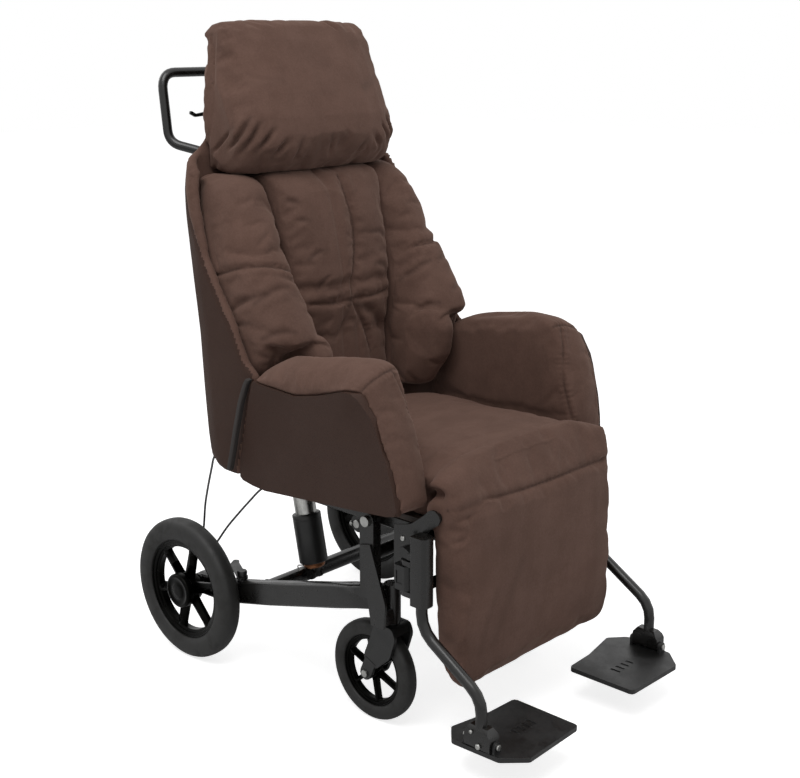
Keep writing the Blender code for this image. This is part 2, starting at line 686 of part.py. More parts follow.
def brake(side, sign, base, looks):
    """A wheel brake: a flat lever with a cam lobe and a knob, turning on a stud of the rail."""
    pivot = joint(f"brake_{side}_turn", (BRAKE_X * sign, BRAKE_Y, BRAKE_LEVER_Z), base)
    z = BRAKE_LEVER_Z
    arm = prism(fillet([(BRAKE_X - 0.009, BRAKE_Y - 0.004), (BRAKE_X + 0.009, BRAKE_Y + 0.004),
                        (BRAKE_X - 0.026, BRAKE_Y + 0.068), (BRAKE_X - 0.046, BRAKE_Y + 0.080),
                        (BRAKE_X - 0.052, BRAKE_Y + 0.070), (BRAKE_X - 0.042, BRAKE_Y + 0.058)], [0, 0, 0.004, 0.004, 0.004, 0.004], 2),
                "z", z, z + BRAKE_LEVER)
    disc = rod((BRAKE_X, BRAKE_Y, z + 0.0002), (BRAKE_X, BRAKE_Y, z + BRAKE_LEVER - 0.0002), 0.0120, 12)
    a = math.radians(-30)
    tip = 0.0160
    lobe = prism([(BRAKE_X + 0.010 * math.cos(a + 1.0), BRAKE_Y + 0.010 * math.sin(a + 1.0)),
                  (BRAKE_X + tip * math.cos(a + 0.2), BRAKE_Y + tip * math.sin(a + 0.2)),
                  (BRAKE_X + tip * math.cos(a - 0.2), BRAKE_Y + tip * math.sin(a - 0.2)),
                  (BRAKE_X + 0.010 * math.cos(a - 1.0), BRAKE_Y + 0.010 * math.sin(a - 1.0)),
                  (BRAKE_X - 0.002, BRAKE_Y + 0.001)][::-1], "z", z + 0.0004, z + BRAKE_LEVER - 0.0004)
    knob = turned([(0, 0), (0, 0.0095), (0.010, 0.0110), (0.0135, 0.0090), (0.0135, 0)],
                  (BRAKE_X, BRAKE_Y, z + BRAKE_LEVER - 0.001), (0, 0, 1), 12)
    made = union(arm, disc, lobe, knob)
    hole = rod((BRAKE_X, BRAKE_Y, z - 0.01), (BRAKE_X, BRAKE_Y, z + 0.0105), bore(0.004, 10), 10)
    place(f"brake_lever_{side}", mirrored(cut(made, hole), sign), pivot, looks["plastic"])


def strut_line():
    """The strut's foot, its unit direction in the Y-Z plane and its length at rest."""
    foot = Vector((STRUT_LOW_Y, STRUT_LOW_Z))
    head = Vector((STRUT_HIGH_Y, TILT_Z))
    return foot, (head - foot).normalized(), (head - foot).length


def tilt_strut(base, looks):
    """The telescopic strut that tilts the seat: sleeve with rod, tube, collar and wire clip."""
    foot, ahead, length = strut_line()
    swing = joint("tilt_strut_swing", (STRUT_X, *foot), base)
    slide = joint("tilt_strut_slide", (STRUT_X, *foot), swing)
    origin = (STRUT_X, *foot)
    along = (0, *ahead)
    body = turned([(0.0100, 0), (0.0100, STRUT_NECK_RADIUS - 0.0010), (0.0110, STRUT_NECK_RADIUS),
                   (SLEEVE_START, STRUT_NECK_RADIUS), (SLEEVE_START, SLEEVE_RADIUS - 0.002),
                   (SLEEVE_START + 0.002, SLEEVE_RADIUS), (SLEEVE_END - 0.0015, SLEEVE_RADIUS),
                   (SLEEVE_END, SLEEVE_RADIUS - 0.0015), (SLEEVE_END, STRUT_TUBE_RADIUS + 0.0005),
                   (SLEEVE_START + 0.004, STRUT_TUBE_RADIUS + 0.0005), (SLEEVE_START + 0.004, STRUT_ROD_RADIUS),
                   (STRUT_ROD_END, STRUT_ROD_RADIUS), (STRUT_ROD_END, 0)], origin, along, 14)
    half = STRUT_EYE_WIDTH / 2 - 0.001
    eye = prism(lug(foot + ahead * 0.0125, foot, 0.0080), "x", STRUT_X - half, STRUT_X + half)
    body = union(body, eye)
    body = cut(body, rod((STRUT_X - 0.02, *foot), (STRUT_X + 0.02, *foot), bore(STRUT_PIN_RADIUS, 8), 8))
    place("tilt_strut_sleeve", body, swing, looks["painted"])

    slide_hole = STRUT_ROD_RADIUS + 0.0004
    cap = length - 0.014
    tube = turned([(cap - 0.006, 0), (cap - 0.006, slide_hole), (STRUT_TUBE_START, slide_hole),
                   (STRUT_TUBE_START, STRUT_TUBE_RADIUS),
                   (cap - 0.005, STRUT_TUBE_RADIUS), (cap, STRUT_TUBE_RADIUS - 0.006), (cap, 0)], origin, along, 14)
    head = foot + ahead * length
    top = prism(lug(foot + ahead * (cap - 0.003), head, STRUT_EYE_RADIUS), "x", STRUT_X - half, STRUT_X + half)
    tube = union(tube, top)
    tube = cut(tube, rod((STRUT_X - 0.02, *head), (STRUT_X + 0.02, *head), STRUT_PIN_RADIUS + STRUT_PIN_PLAY, 8))
    place("tilt_strut_tube", tube, slide, looks["steel"])

    inner = STRUT_NECK_RADIUS + GAP
    collar = turned([(COLLAR_START, inner), (COLLAR_START, COLLAR_RADIUS - 0.003), (COLLAR_START + 0.003, COLLAR_RADIUS),
                     (COLLAR_START + COLLAR_HEIGHT, COLLAR_RADIUS), (COLLAR_START + COLLAR_HEIGHT, inner)], origin, along, 14)
    place("tilt_strut_collar", collar, swing, looks["copper"])

    ahead3 = Vector((0, *ahead))
    out = Vector((-0.93, 0.37, 0))
    out = (out - ahead3 * out.dot(ahead3)).normalized()
    middle = Vector(origin) + ahead3 * (COLLAR_START + COLLAR_HEIGHT / 2)
    start = COLLAR_RADIUS + GAP
    route = bend([middle + out * start + ahead3 * 0.0030, middle + out * (start + 0.014) + ahead3 * 0.0065,
                  middle + out * (start + 0.013) - ahead3 * 0.0065, middle + out * start - ahead3 * 0.0015], 0.002, 2)
    clip = sweep(route, round_section(CLIP_WIRE_RADIUS, 6), out.cross(ahead3))
    place("tilt_strut_clip", clip, swing, looks["steel"])


def seat_frame(seat, looks):
    """The welded seat frame: tubes, hinge plates, leg-rest tabs, hanger plates and pivot lugs."""
    half = FRAME_TUBE / 2
    low = FRAME_TOP - FRAME_TUBE
    rails = []
    for side, sign in SIDES:
        x0 = FRAME_RAIL_X - half
        x1 = FRAME_RAIL_X + half
        rail = prism(fillet([(x0, low), (x1, low), (x1, FRAME_TOP), (x0, FRAME_TOP)], 0.003, 1), "y",
                     FRAME_FRONT_Y + half - 0.002, FRAME_REAR_Y + 0.0080)
        plate = prism(lug((RECLINE_Y, TILT_Z - 0.004), (RECLINE_Y, RECLINE_Z), 0.013), "x",
                      HINGE_PLATE_X, HINGE_PLATE_X + HINGE_PLATE)
        tab = prism(fillet([(-0.560, 0.3150), (-0.560, 0.4265), (-0.600, 0.4370), (-0.630, 0.4600), (-0.645, 0.4750),
                            (-0.6640, 0.4750), (-0.6700, 0.4550), (-0.628, 0.4250), (-0.625, 0.4000), (-0.625, 0.3150)],
                           [0.004, 0, 0.020, 0.010, 0.010, 0.010, 0.008, 0, 0, 0.004], 1), "x",
                    FRAME_HALF - TAB, FRAME_HALF)
        collar = HINGE_PLATE_X + HINGE_PLATE + HINGE_PLATE_PLAY - GAP
        stud = turned([(HINGE_PLATE_X + 0.001, 0), (HINGE_PLATE_X + 0.001, 0.0075), (collar, 0.0075),
                       (collar, RECLINE_BOLT_RADIUS), (collar + HINGE_PLATE + 0.0030, RECLINE_BOLT_RADIUS),
                       (collar + HINGE_PLATE + 0.0040, RECLINE_BOLT_RADIUS - 0.001), (collar + HINGE_PLATE + 0.0040, 0)],
                      (0, RECLINE_Y, RECLINE_Z), (1, 0, 0), 10)
        link_face = LEG_LINK_X + LEG_LINK + GAP
        leg_stud = turned([(LEG_LINK_X + 0.0002, 0), (LEG_LINK_X + 0.0002, LEG_PIN_RADIUS), (link_face, LEG_PIN_RADIUS),
                           (link_face, 0.0062), (FRAME_HALF - 0.001, 0.0062), (FRAME_HALF - 0.001, 0)],
                          (0, LEG_Y, LEG_Z), (1, 0, 0), 8)
        made = union(rail, plate, tab, stud, leg_stud)
        tilt_hole = rod((x0 - 0.01, TILT_Y, TILT_Z), (x1 + 0.003, TILT_Y, TILT_Z), bore(TILT_BOLT_RADIUS, 12), 12)
        made = cut(made, tilt_hole)
        rails.append(mirrored(made, sign))
    front = prism(fillet([(FRAME_FRONT_Y - half, low + 0.0005), (FRAME_FRONT_Y + half, low + 0.0005),
                          (FRAME_FRONT_Y + half, FRAME_TOP - 0.0005), (FRAME_FRONT_Y - half, FRAME_TOP - 0.0005)], 0.003, 1),
                  "x", -FRAME_HALF + 0.001, FRAME_HALF - 0.001)
    reach = FRAME_RAIL_X - half + 0.001
    bars = [prism([(y - half, low + 0.001), (y + half, low + 0.001), (y + half, FRAME_TOP - 0.001),
                   (y - half, FRAME_TOP - 0.001)], "x", -reach, reach) for y in (SPRING_FRONT_Y, -0.270)]
    rear = prism([(FRAME_REAR_Y - 0.008, low + 0.003), (FRAME_REAR_Y + 0.007, low + 0.003),
                  (FRAME_REAR_Y + 0.007, FRAME_TOP - 0.001), (FRAME_REAR_Y - 0.008, FRAME_TOP - 0.001)], "x", -reach, reach)
    strut_lugs = fork(STRUT_X, STRUT_EYE_WIDTH, 0.005, lug((FRAME_REAR_Y - 0.002, TILT_Z), (STRUT_HIGH_Y, TILT_Z), 0.0080),
                      (STRUT_HIGH_Y, TILT_Z), STRUT_PIN_RADIUS)
    spring_lugs = fork(SPRING_X, SPRING_EYE_WIDTH + 0.001, 0.004, lug((SPRING_FRONT_Y, low + 0.006), (SPRING_FRONT_Y, SPRING_Z), 0.009),
                       (SPRING_FRONT_Y, SPRING_Z), SPRING_PIN_RADIUS)
    made = union(gather(rails), gather([front, *bars, rear]), gather([strut_lugs, spring_lugs]))
    place("seat_frame", made, seat, looks["painted"])


def tilt_bolts(base, looks):
    """The bolts that hang the seat frame between the posts."""
    for side, sign in SIDES:
        rail_in = FRAME_RAIL_X - FRAME_TUBE / 2
        rail_out = FRAME_RAIL_X + FRAME_TUBE / 2
        post_in = POST_X - POST_WIDTH / 2
        post_out = POST_X + POST_WIDTH / 2
        r = TILT_BOLT_RADIUS
        start = rail_in - GAP - 0.006
        tilt = turned([(0, 0), (0, 0.0100), (rail_in - GAP - start, 0.0100), (rail_in - GAP - start, r),
                       (rail_out + GAP - start, r), (rail_out + GAP - start, 0.0105), (post_in - GAP - start, 0.0105),
                       (post_in - GAP - start, r), (post_out + GAP - start, r), (post_out + GAP - start, 0.0105),
                       (post_out + GAP + 0.006 - start, 0.0105), (post_out + GAP + 0.006 - start, 0)],
                      (start, TILT_Y, TILT_Z), (1, 0, 0), 12)
        place(f"tilt_bolt_{side}", mirrored(tilt, sign), base, looks["steel"])


def seat_board(seat, looks):
    """The plywood board under the seat cushion, narrower between the hinge plates."""
    wide = ARM_INNER_X - GAP
    narrow = HINGE_PLATE_X - 0.0005
    step = -0.235
    z = FRAME_TOP + GAP
    outline = [(-wide, BOARD_FRONT_Y), (wide, BOARD_FRONT_Y), (wide, step), (narrow, step + 0.006), (narrow, BOARD_REAR_Y),
               (-narrow, BOARD_REAR_Y), (-narrow, step + 0.006), (-wide, step)]
    made = prism(fillet(outline, [0.012, 0.012, 0, 0, 0.008, 0.008, 0, 0], 3), "z", z, z + BOARD_THICKNESS)
    place("seat_board", made, seat, looks["wood"])


def recline_spring(seat, looks):
    """The gas spring under the seat: its body on the seat frame, its rod on the back frame."""
    foot = Vector((SPRING_FRONT_Y, SPRING_Z))
    head = Vector((SPRING_REAR_Y, SPRING_Z))
    length = (head - foot).length
    origin = (SPRING_X, *foot)
    swing = joint("recline_spring_swing", origin, seat)
    slide = joint("recline_spring_slide", origin, swing)
    half = SPRING_EYE_WIDTH / 2
    slide_hole = SPRING_ROD_RADIUS + GAP
    body = turned([(0.060, 0), (0.060, slide_hole), (SPRING_BODY_END, slide_hole),
                   (SPRING_BODY_END, SPRING_RADIUS - 0.003),
                   (SPRING_BODY_END - 0.003, SPRING_RADIUS), (0.022, SPRING_RADIUS), (0.017, SPRING_RADIUS - 0.004),
                   (0.010, 0.0065), (0.010, 0)], origin, (0, 1, 0), 12)
    eye = prism(lug((foot.x + 0.0125, foot.y), foot, 0.0085), "x", SPRING_X - half, SPRING_X + half)
    body = cut(union(body, eye), rod((SPRING_X - 0.02, *foot), (SPRING_X + 0.02, *foot), bore(SPRING_PIN_RADIUS, 8), 8))
    place("recline_spring_body", body, swing, looks["painted"])
    stem = rod((SPRING_X, foot.x + SPRING_ROD_START, foot.y), (SPRING_X, head.x - 0.010, foot.y), SPRING_ROD_RADIUS, 12)
    end = prism(lug((head.x - 0.014, head.y), head, SPRING_EYE_RADIUS), "x", SPRING_X - half, SPRING_X + half)
    hole = rod((SPRING_X - 0.02, *head), (SPRING_X + 0.02, *head), SPRING_PIN_RADIUS + SPRING_PIN_PLAY, 8)
    place("recline_spring_rod", cut(union(stem, end), hole), slide, looks["steel"])


def back_frame(back, looks):
    """The steel frame in the shell: hinge plates, cross tube and the fork that the spring pushes."""
    x0 = HINGE_PLATE_X + HINGE_PLATE + HINGE_PLATE_PLAY
    x1 = x0 + HINGE_PLATE
    plates = []
    for side, sign in SIDES:
        plate = prism(lug((back_tube_y() + 0.003, BACK_TUBE_Z + 0.002), (RECLINE_Y, RECLINE_Z), 0.012), "x", x0, x1)
        hole = rod((x0 - 0.01, RECLINE_Y, RECLINE_Z), (x1 + 0.01, RECLINE_Y, RECLINE_Z), bore(RECLINE_BOLT_RADIUS, 10), 10)
        plates.append(mirrored(cut(plate, hole), sign))
    tube = rod((-x1 + 0.0005, back_tube_y(), BACK_TUBE_Z), (x1 - 0.0005, back_tube_y(), BACK_TUBE_Z), BACK_TUBE_RADIUS, 12)
    lever = fork(SPRING_X, SPRING_EYE_WIDTH + 0.001, 0.004,
                 lug((back_tube_y(), BACK_TUBE_Z + 0.004), (SPRING_REAR_Y, SPRING_Z), 0.009), (SPRING_REAR_Y, SPRING_Z), SPRING_PIN_RADIUS)
    place("back_frame", union(gather(plates), tube, lever), back, looks["painted"])


def leg_rest(seat, looks):
    """The calf pad's steel frame and board, hung on the seat frame's front tabs."""
    swing = joint("leg_rest_swing", (0, LEG_Y, LEG_Z), seat)
    board_back = CALF_BACK_Y + CALF_BOARD + GAP
    links = []
    for side, sign in SIDES:
        outline = fillet([(board_back + 0.012, 0.300), (board_back + 0.012, 0.440), (LEG_Y + 0.010, LEG_Z + 0.009),
                          (LEG_Y - 0.010, LEG_Z + 0.009), (LEG_Y - 0.011, LEG_Z - 0.006), (CALF_BACK_Y, 0.430),
                          (CALF_BACK_Y, 0.300)], [0, 0.010, 0.007, 0.008, 0.008, 0.008, 0], 2)
        link = prism(outline, "x", LEG_LINK_X, LEG_LINK_X + LEG_LINK)
        hole = rod((LEG_LINK_X - 0.01, LEG_Y, LEG_Z), (LEG_LINK_X + 0.01, LEG_Y, LEG_Z), bore(LEG_PIN_RADIUS, 8), 8)
        links.append(mirrored(cut(link, hole), sign))
    reach = LEG_LINK_X + 0.001
    bars = [box(-reach, reach, board_back, board_back + 0.004, z - 0.011, z + 0.011) for z in (0.322, 0.418)]
    place("calf_frame", union(gather(links), gather(bars)), swing, looks["painted"])
    half = CALF_BOARD_HALF
    outline = fillet([(-half, 0.200), (half, 0.200), (half, 0.438), (-half, 0.438)], [0.040, 0.040, 0.010, 0.010], 4)
    board = prism(outline, "y", CALF_BACK_Y, CALF_BACK_Y + CALF_BOARD)
    place("calf_board", board, swing, looks["wood"])
    return swing


def hanger(side, sign, seat, looks):
    """A swing-away hanger with its receiver, pin and latch; returns its joint."""
    x = HANGER_X
    inner = FRAME_HALF + GAP
    block = prism(fillet([(inner, -0.6210), (x + 0.006, -0.6210), (x + 0.014, -0.6130), (x + 0.014, -0.5900), (x + 0.008, -0.5850),
                          (inner, -0.5850)], [0, 0.002, 0.002, 0.004, 0.004, 0], 2), "z", RECEIVER_BOTTOM, RECEIVER_TOP)
    pocket = prism([(x + 0.0125, -0.6080), (x + 0.020, -0.6080), (x + 0.020, -0.5930), (x + 0.0125, -0.5930)], "z",
                   RECEIVER_BOTTOM + 0.012, RECEIVER_TOP - 0.010)
    reach = HANGER_LUG + 0.0020
    pin = rod((x, HANGER_Y, RECEIVER_BOTTOM - reach), (x, HANGER_Y, RECEIVER_TOP + reach), HANGER_PIN_RADIUS, 12)
    block = union(cut(block, pocket), pin)
    place(f"hanger_receiver_{side}", mirrored(block, sign), seat, looks["plastic"])

    swing = joint(f"hanger_{side}_swing", (x * sign, HANGER_Y, RECEIVER_BOTTOM), seat)
    sleeve = prism(fillet([(x - 0.0150, -0.6600), (x + 0.0150, -0.6600), (x + 0.0150, -0.6260), (x - 0.0150, -0.6260)],
                          [0.008, 0.008, 0.003, 0.003], 2), "z", RECEIVER_BOTTOM - 0.022, SLEEVE_TOP_Z)
    ears = []
    for z in (RECEIVER_BOTTOM - HANGER_LUG - 0.0010, RECEIVER_TOP + 0.0010):
        outline = [(u, v) for v, u in lug((-0.6320, x), (HANGER_Y, x), 0.0110)]
        ears.append(prism(outline, "z", z, z + HANGER_LUG))
    ears = cut(gather(ears), rod((x, HANGER_Y, 0.25), (x, HANGER_Y, 0.45), bore(HANGER_PIN_RADIUS, 12), 12))
    route = bend([(x, -0.6430, SLEEVE_TOP_Z - 0.03), (x, -0.6420, 0.255), (x, -0.7815, 0.168), (x, -0.7815, FOOT_BLOCK_TOP - 0.010)],
                 0.055, 3)
    tube = sweep(route, round_section(HANGER_TUBE_RADIUS), (1, 0, 0))
    block = foot_block()
    latch_ears = [prism([(-0.6270, LATCH_PIN_Z - 0.006), (LATCH_PIN_Y + 0.0035, LATCH_PIN_Z - 0.006),
                         (LATCH_PIN_Y + 0.0035, LATCH_PIN_Z + 0.005), (-0.6270, LATCH_PIN_Z + 0.007)], "x", a, b)
                  for a, b in ((x - 0.0130, x - 0.0100), (x + 0.0100, x + 0.0130))]
    stub = rod((x - 0.0120, LATCH_PIN_Y, LATCH_PIN_Z), (x + 0.0120, LATCH_PIN_Y, LATCH_PIN_Z), 0.0018, 8)
    made = union(sleeve, ears, tube, block, gather(latch_ears), stub)
    hole = rod((FOOT_PIN_X, FOOT_BLOCK_FRONT - 0.01, FOOT_PIN_Z), (FOOT_PIN_X, FOOT_BLOCK_REAR + 0.01, FOOT_PIN_Z),
               FOOT_PIN_RADIUS + GAP, 8)
    place(f"hanger_{side}", mirrored(cut(made, hole), sign), swing, looks["painted"])

    lift = joint(f"hanger_latch_{side}_lift", (x * sign, LATCH_PIN_Y, LATCH_PIN_Z), swing)
    outline = fillet([(-0.6245, LATCH_PIN_Z - 0.0045), (-0.6190, LATCH_PIN_Z - 0.0072), (-0.5965, LATCH_PIN_Z - 0.0068),
                      (-0.5965, LATCH_PIN_Z + 0.010), (-0.6060, LATCH_PIN_Z + 0.013), (-0.6245, LATCH_PIN_Z + 0.0045)],
                     [0, 0, 0.003, 0.003, 0.004, 0.002], 2)
    latch = prism(outline, "x", x - 0.0092, x + 0.0092)
    hole = rod((x - 0.02, LATCH_PIN_Y, LATCH_PIN_Z), (x + 0.02, LATCH_PIN_Y, LATCH_PIN_Z), bore(0.0018, 8), 8)
    place(f"hanger_latch_{side}", mirrored(cut(latch, hole), sign), lift, looks["plastic"])
    return swing


def foot_block():
    """The moulded block at the foot of a hanger, rounded where the footplate turns past it."""
    r = FOOT_BLOCK_ROUND
    points = [(FOOT_PIN_X - r, FOOT_BLOCK_TOP - 0.010), (FOOT_PIN_X - r + 0.004, FOOT_BLOCK_TOP), (FOOT_BLOCK_OUTER - 0.006, FOOT_BLOCK_TOP),
              (FOOT_BLOCK_OUTER, FOOT_BLOCK_TOP - 0.008), (FOOT_BLOCK_OUTER, FOOT_PIN_Z - r + 0.003),
              (FOOT_BLOCK_OUTER - 0.003, FOOT_PIN_Z - r)]
    for k in range(5):
        a = math.radians(270 - 22.5 * k)
        points.append((FOOT_PIN_X + r * math.cos(a), FOOT_PIN_Z + r * math.sin(a)))
    block = prism(points, "y", FOOT_BLOCK_FRONT, FOOT_BLOCK_REAR)
    corner = prism([(FOOT_BLOCK_REAR + 0.001, FOOT_BLOCK_TOP + 0.001), (FOOT_BLOCK_REAR + 0.001, FOOT_BLOCK_TOP - 0.012),
                    (FOOT_BLOCK_REAR - 0.009, FOOT_BLOCK_TOP + 0.001)], "x", x_low(), FOOT_BLOCK_OUTER + 0.01)
    toe = prism([(FOOT_BLOCK_FRONT - 0.001, FOOT_BLOCK_TOP + 0.001), (FOOT_BLOCK_FRONT - 0.001, FOOT_BLOCK_TOP - 0.016),
                 (FOOT_BLOCK_FRONT + 0.011, FOOT_BLOCK_TOP + 0.001)], "x", x_low(), FOOT_BLOCK_OUTER + 0.01)
    return cut(block, corner, toe)


def x_low():
    """A place inboard of the foot block, where cuts across it start."""
    return FOOT_PIN_X - FOOT_BLOCK_ROUND - 0.01


def footplate(side, sign, swing, looks):
    """A flip-up footplate with its hinge ears, grip recesses and rim, and the pin that it turns on."""
    flip = joint(f"footplate_{side}_flip", (FOOT_PIN_X * sign, -0.7815, FOOT_PIN_Z), swing)
    outline = [(0.087, -0.716), (0.158, -0.713), (HANGER_X - 0.020, -0.696), (HANGER_X + 0.013, -0.725),
               (HANGER_X + 0.008, -0.827), (HANGER_X - 0.030, -FOOT_FRONT), (0.087, -0.862)]
    bottom = FOOT_TOP - FOOT_THICKNESS
    plate = prism(fillet(outline, [0.008, 0, 0.008, 0.010, 0.010, 0.008, 0.008], 2), "z", bottom, FOOT_TOP)
    grips = [box(x, x + 0.006, -0.802 + k * 0.001, -0.780 - k * 0.001, FOOT_TOP - 0.0015, FOOT_TOP + 0.01)
             for k, x in enumerate((0.132, 0.148, 0.164, 0.180))]
    under = prism(fillet([(0.096, -0.725), (0.225, -0.712), (0.246, -0.735), (0.244, -0.828), (0.228, -0.856), (0.096, -0.853)], 0, 2),
                  "z", bottom - 0.01, bottom + 0.0045)
    ribs = [box(0.09, 0.25, y - 0.0015, y + 0.0015, bottom + 0.0005, bottom + 0.0055) for y in (-0.757, -0.815)]
    plate = cut(plate, under)
    plate = union(plate, gather(ribs))
    plate = cut(plate, gather(grips))
    ears = []
    for front, back in ((FOOT_BLOCK_FRONT - 0.0065, FOOT_BLOCK_FRONT - 0.0006), (FOOT_BLOCK_REAR + 0.0006, FOOT_BLOCK_REAR + 0.0065)):
        ear = lug((FOOT_PIN_X, FOOT_TOP - 0.004), (FOOT_PIN_X, FOOT_PIN_Z), 0.0095)
        ears.append(prism(ear, "y", front, back))
    made = union(plate, gather(ears))
    hole = rod((FOOT_PIN_X, FOOT_BLOCK_FRONT - 0.02, FOOT_PIN_Z), (FOOT_PIN_X, FOOT_BLOCK_REAR + 0.02, FOOT_PIN_Z), bore(FOOT_PIN_RADIUS, 8), 8)
    place(f"footplate_{side}", mirrored(cut(made, hole), sign), flip, looks["plastic"])
    front = FOOT_BLOCK_FRONT - 0.0065 - GAP
    rear = FOOT_BLOCK_REAR + 0.0065 + GAP
    r = FOOT_PIN_RADIUS
    pin = turned([(-0.0035, 0), (-0.0035, 0.0058), (0, 0.0058), (0, r), (rear - front, r), (rear - front, 0.0058),
                  (rear - front + 0.0035, 0.0058), (rear - front + 0.0035, 0)],
                 (FOOT_PIN_X, front, FOOT_PIN_Z), (0, 1, 0), 8)
    place(f"footplate_pin_{side}", mirrored(pin, sign), swing, looks["steel"])


def read_line(table, value):
    """Reads a line drawn through (height, size) points at one height."""
    if value <= table[0][0]:
        return table[0][1]
    for (a, low), (b, high) in zip(table, table[1:]):
        if value <= b:
            return low + (high - low) * (value - a) / (b - a)
    return table[-1][1]


SHELL_REAR = [(0.430, -0.090), (0.516, -0.080), (0.617, -0.078), (0.717, -0.071), (0.832, -0.047), (0.937, -0.019),
              (0.984, -0.010), (1.018, -0.005), (1.062, -0.005), (1.110, 0.006), (1.200, 0.004),
              (SHELL_TOP_Z + 0.038, -0.016)]
SHELL_WIDTH = [(0.430, 0.302), (0.516, 0.305), (0.617, 0.310), (0.717, 0.309), (0.832, 0.302), (0.937, 0.291),
               (0.984, 0.285), (1.040, 0.262), (1.070, 0.215), (1.110, 0.190),
               (SHELL_TOP_Z + 0.038, SHELL_TOP_HALF)]
SHELL_CORNER = [(0.984, 0.055), (1.070, 0.030), (1.110, 0.020)]
STRIPE = [(0.4465, -0.199), (0.560, -0.236), (0.659, -0.270)]


def head_level(z):
    """A height drawn for a head part HEAD_DRAWN tall, moved to where it lies under the shell's top."""
    return HEAD_LOW_Z + (z - HEAD_LOW_Z) * (SHELL_TOP_Z - HEAD_LOW_Z) / HEAD_DRAWN


def back_tube_y():
    """The back frame's cross tube lies against the inside of the shell."""
    return read_line(SHELL_REAR, BACK_TUBE_Z) - SHELL_WALL - BACK_TUBE_RADIUS - GAP


def shell_levels():
    """The heights at which the shell's plan is drawn."""
    return sorted({z for z, size in SHELL_REAR + SHELL_WIDTH})


def shell_plan(z, wall):
    """The shell's plan at one height, drawn in by a wall; it runs far forward of the shell's edge."""
    half = read_line(SHELL_WIDTH, z) - wall
    rear = read_line(SHELL_REAR, z) - wall
    corner = max(read_line(SHELL_CORNER, z) - wall, 0.003)
    front = -0.420 - wall
    outline = fillet([(half, front), (half, rear), (-half, rear), (-half, front)], [0, corner, corner, 0], 3)
    return [(x, y, z) for x, y in outline]


def back_shell(back, looks):
    """The bucket-like back shell: a rear wall with forward wings, cut to its side outline."""
    outer = loft([shell_plan(z, 0) for z in shell_levels()])
    inner_levels = shell_levels()
    inner_levels[0] -= 0.01
    inner_levels[-1] += 0.01
    inner = loft([shell_plan(z, SHELL_WALL) for z in inner_levels])
    g = STRIPE_GAP / 2
    side = [(STRIPE[0][1] + g, STRIPE[0][0]), (STRIPE[1][1] + g, STRIPE[1][0]), (STRIPE[2][1] + g, STRIPE[2][0] - 0.003),
            (-0.238, 0.678), (-0.194, 0.756), (-0.118, 0.860), (-0.078, 0.970), (-0.064, 1.018)]
    upper = [head_level(z) for z in (1.050, 1.110, 1.200)] + [SHELL_TOP_Z]
    side += [(read_line(SHELL_REAR, z) - SHELL_WALL + 0.001, z) for z in upper]
    side += [(0.200, SHELL_TOP_Z), (0.200, 0.530), (-0.070, 0.530), (-0.088, 0.495), (-0.112, 0.466),
            (-0.150, 0.449)]
    outline = fillet(side, [0, 0.2, 0.006, 0.010, 0.2, 0.1, 0.05, 0.03, 0.01, 0, 0, 0, 0, 0, 0.010, 0.03, 0.03, 0.03], 2)
    made = common(cut(outer, inner), prism(outline, "x", -0.4, 0.4))
    place("back_shell", made, back, looks["vinyl"])


def push_bar(back, looks):
    """The attendant's push bar: one bent tube with a flange at each end."""
    face = read_line(SHELL_REAR, BAR_FLANGE_Z) + GAP
    right = [(BAR_FLANGE_X, face + 0.001, BAR_FLANGE_Z), (BAR_FLANGE_X + 0.004, face + 0.040, BAR_FLANGE_Z + 0.001),
             (BAR_HALF, BAR_GRIP_Y - 0.016, BAR_FLANGE_Z + 0.020), (BAR_HALF, BAR_GRIP_Y, BAR_GRIP_Z)]
    route = right + [(-x, y, z) for x, y, z in reversed(right)]
    bar = sweep(bend(route, BAR_CORNER, 2), round_section(BAR_RADIUS), (0, 1, 0.2))
    flanges = [rod((s * BAR_FLANGE_X, face, BAR_FLANGE_Z), (s * BAR_FLANGE_X, face + 0.005, BAR_FLANGE_Z), 0.019, 12) for s in (-1, 1)]
    place("push_bar", union(bar, gather(flanges)), back, looks["painted"])


def release(side, sign, back, looks):
    """A finger lever for the recline spring, on a bracket behind the shell."""
    face = read_line(SHELL_REAR, 1.110) + GAP
    z = 1.121
    axis_y = face + 0.0110
    plate = box(0.146, 0.170, face, face + 0.004, z - 0.015, z + 0.015)
    ears = gather([prism([(face + 0.003, z - 0.008), (axis_y + 0.002, z - 0.004), (axis_y + 0.002, z + 0.004), (face + 0.003, z + 0.008)],
                         "x", a, a + 0.003) for a in (0.148, 0.165)])
    stub = rod((0.149, axis_y, z), (0.167, axis_y, z), 0.0018, 8)
    bracket = union(plate, ears, stub)
    place(f"release_bracket_{side}", mirrored(bracket, sign), back, looks["painted"])
    lift = joint(f"release_lever_{side}_lift", (0.158 * sign, axis_y, z), back)
    barrel = rod((0.1514, axis_y, z), (0.1646, axis_y, z), 0.0050, 10)
    finger = prism(fillet([(0.153, z - 0.003), (0.160, z - 0.0045), (0.196, z - 0.0070), (0.208, z - 0.001), (0.207, z + 0.006),
                           (0.194, z - 0.0010), (0.163, z + 0.0030), (0.153, z + 0.003)], 0.002, 2), "y", axis_y + 0.0035, axis_y + 0.0085)
    made = union(barrel, finger)
    hole = rod((0.14, axis_y, z), (0.18, axis_y, z), bore(0.0018, 8), 8)
    place(f"release_lever_{side}", mirrored(cut(made, hole), sign), lift, looks["plastic"])


def dip(value, centre, width):
    """A soft groove: one at its centre and nothing some widths away."""
    return math.exp(-((value - centre) / width) ** 2)


def padded(stations, outline, shape):
    """A cushion drawn as side outlines across the chair: shape gives each point's place."""
    return loft([[shape(s, y, z) for y, z in outline] for s in stations])


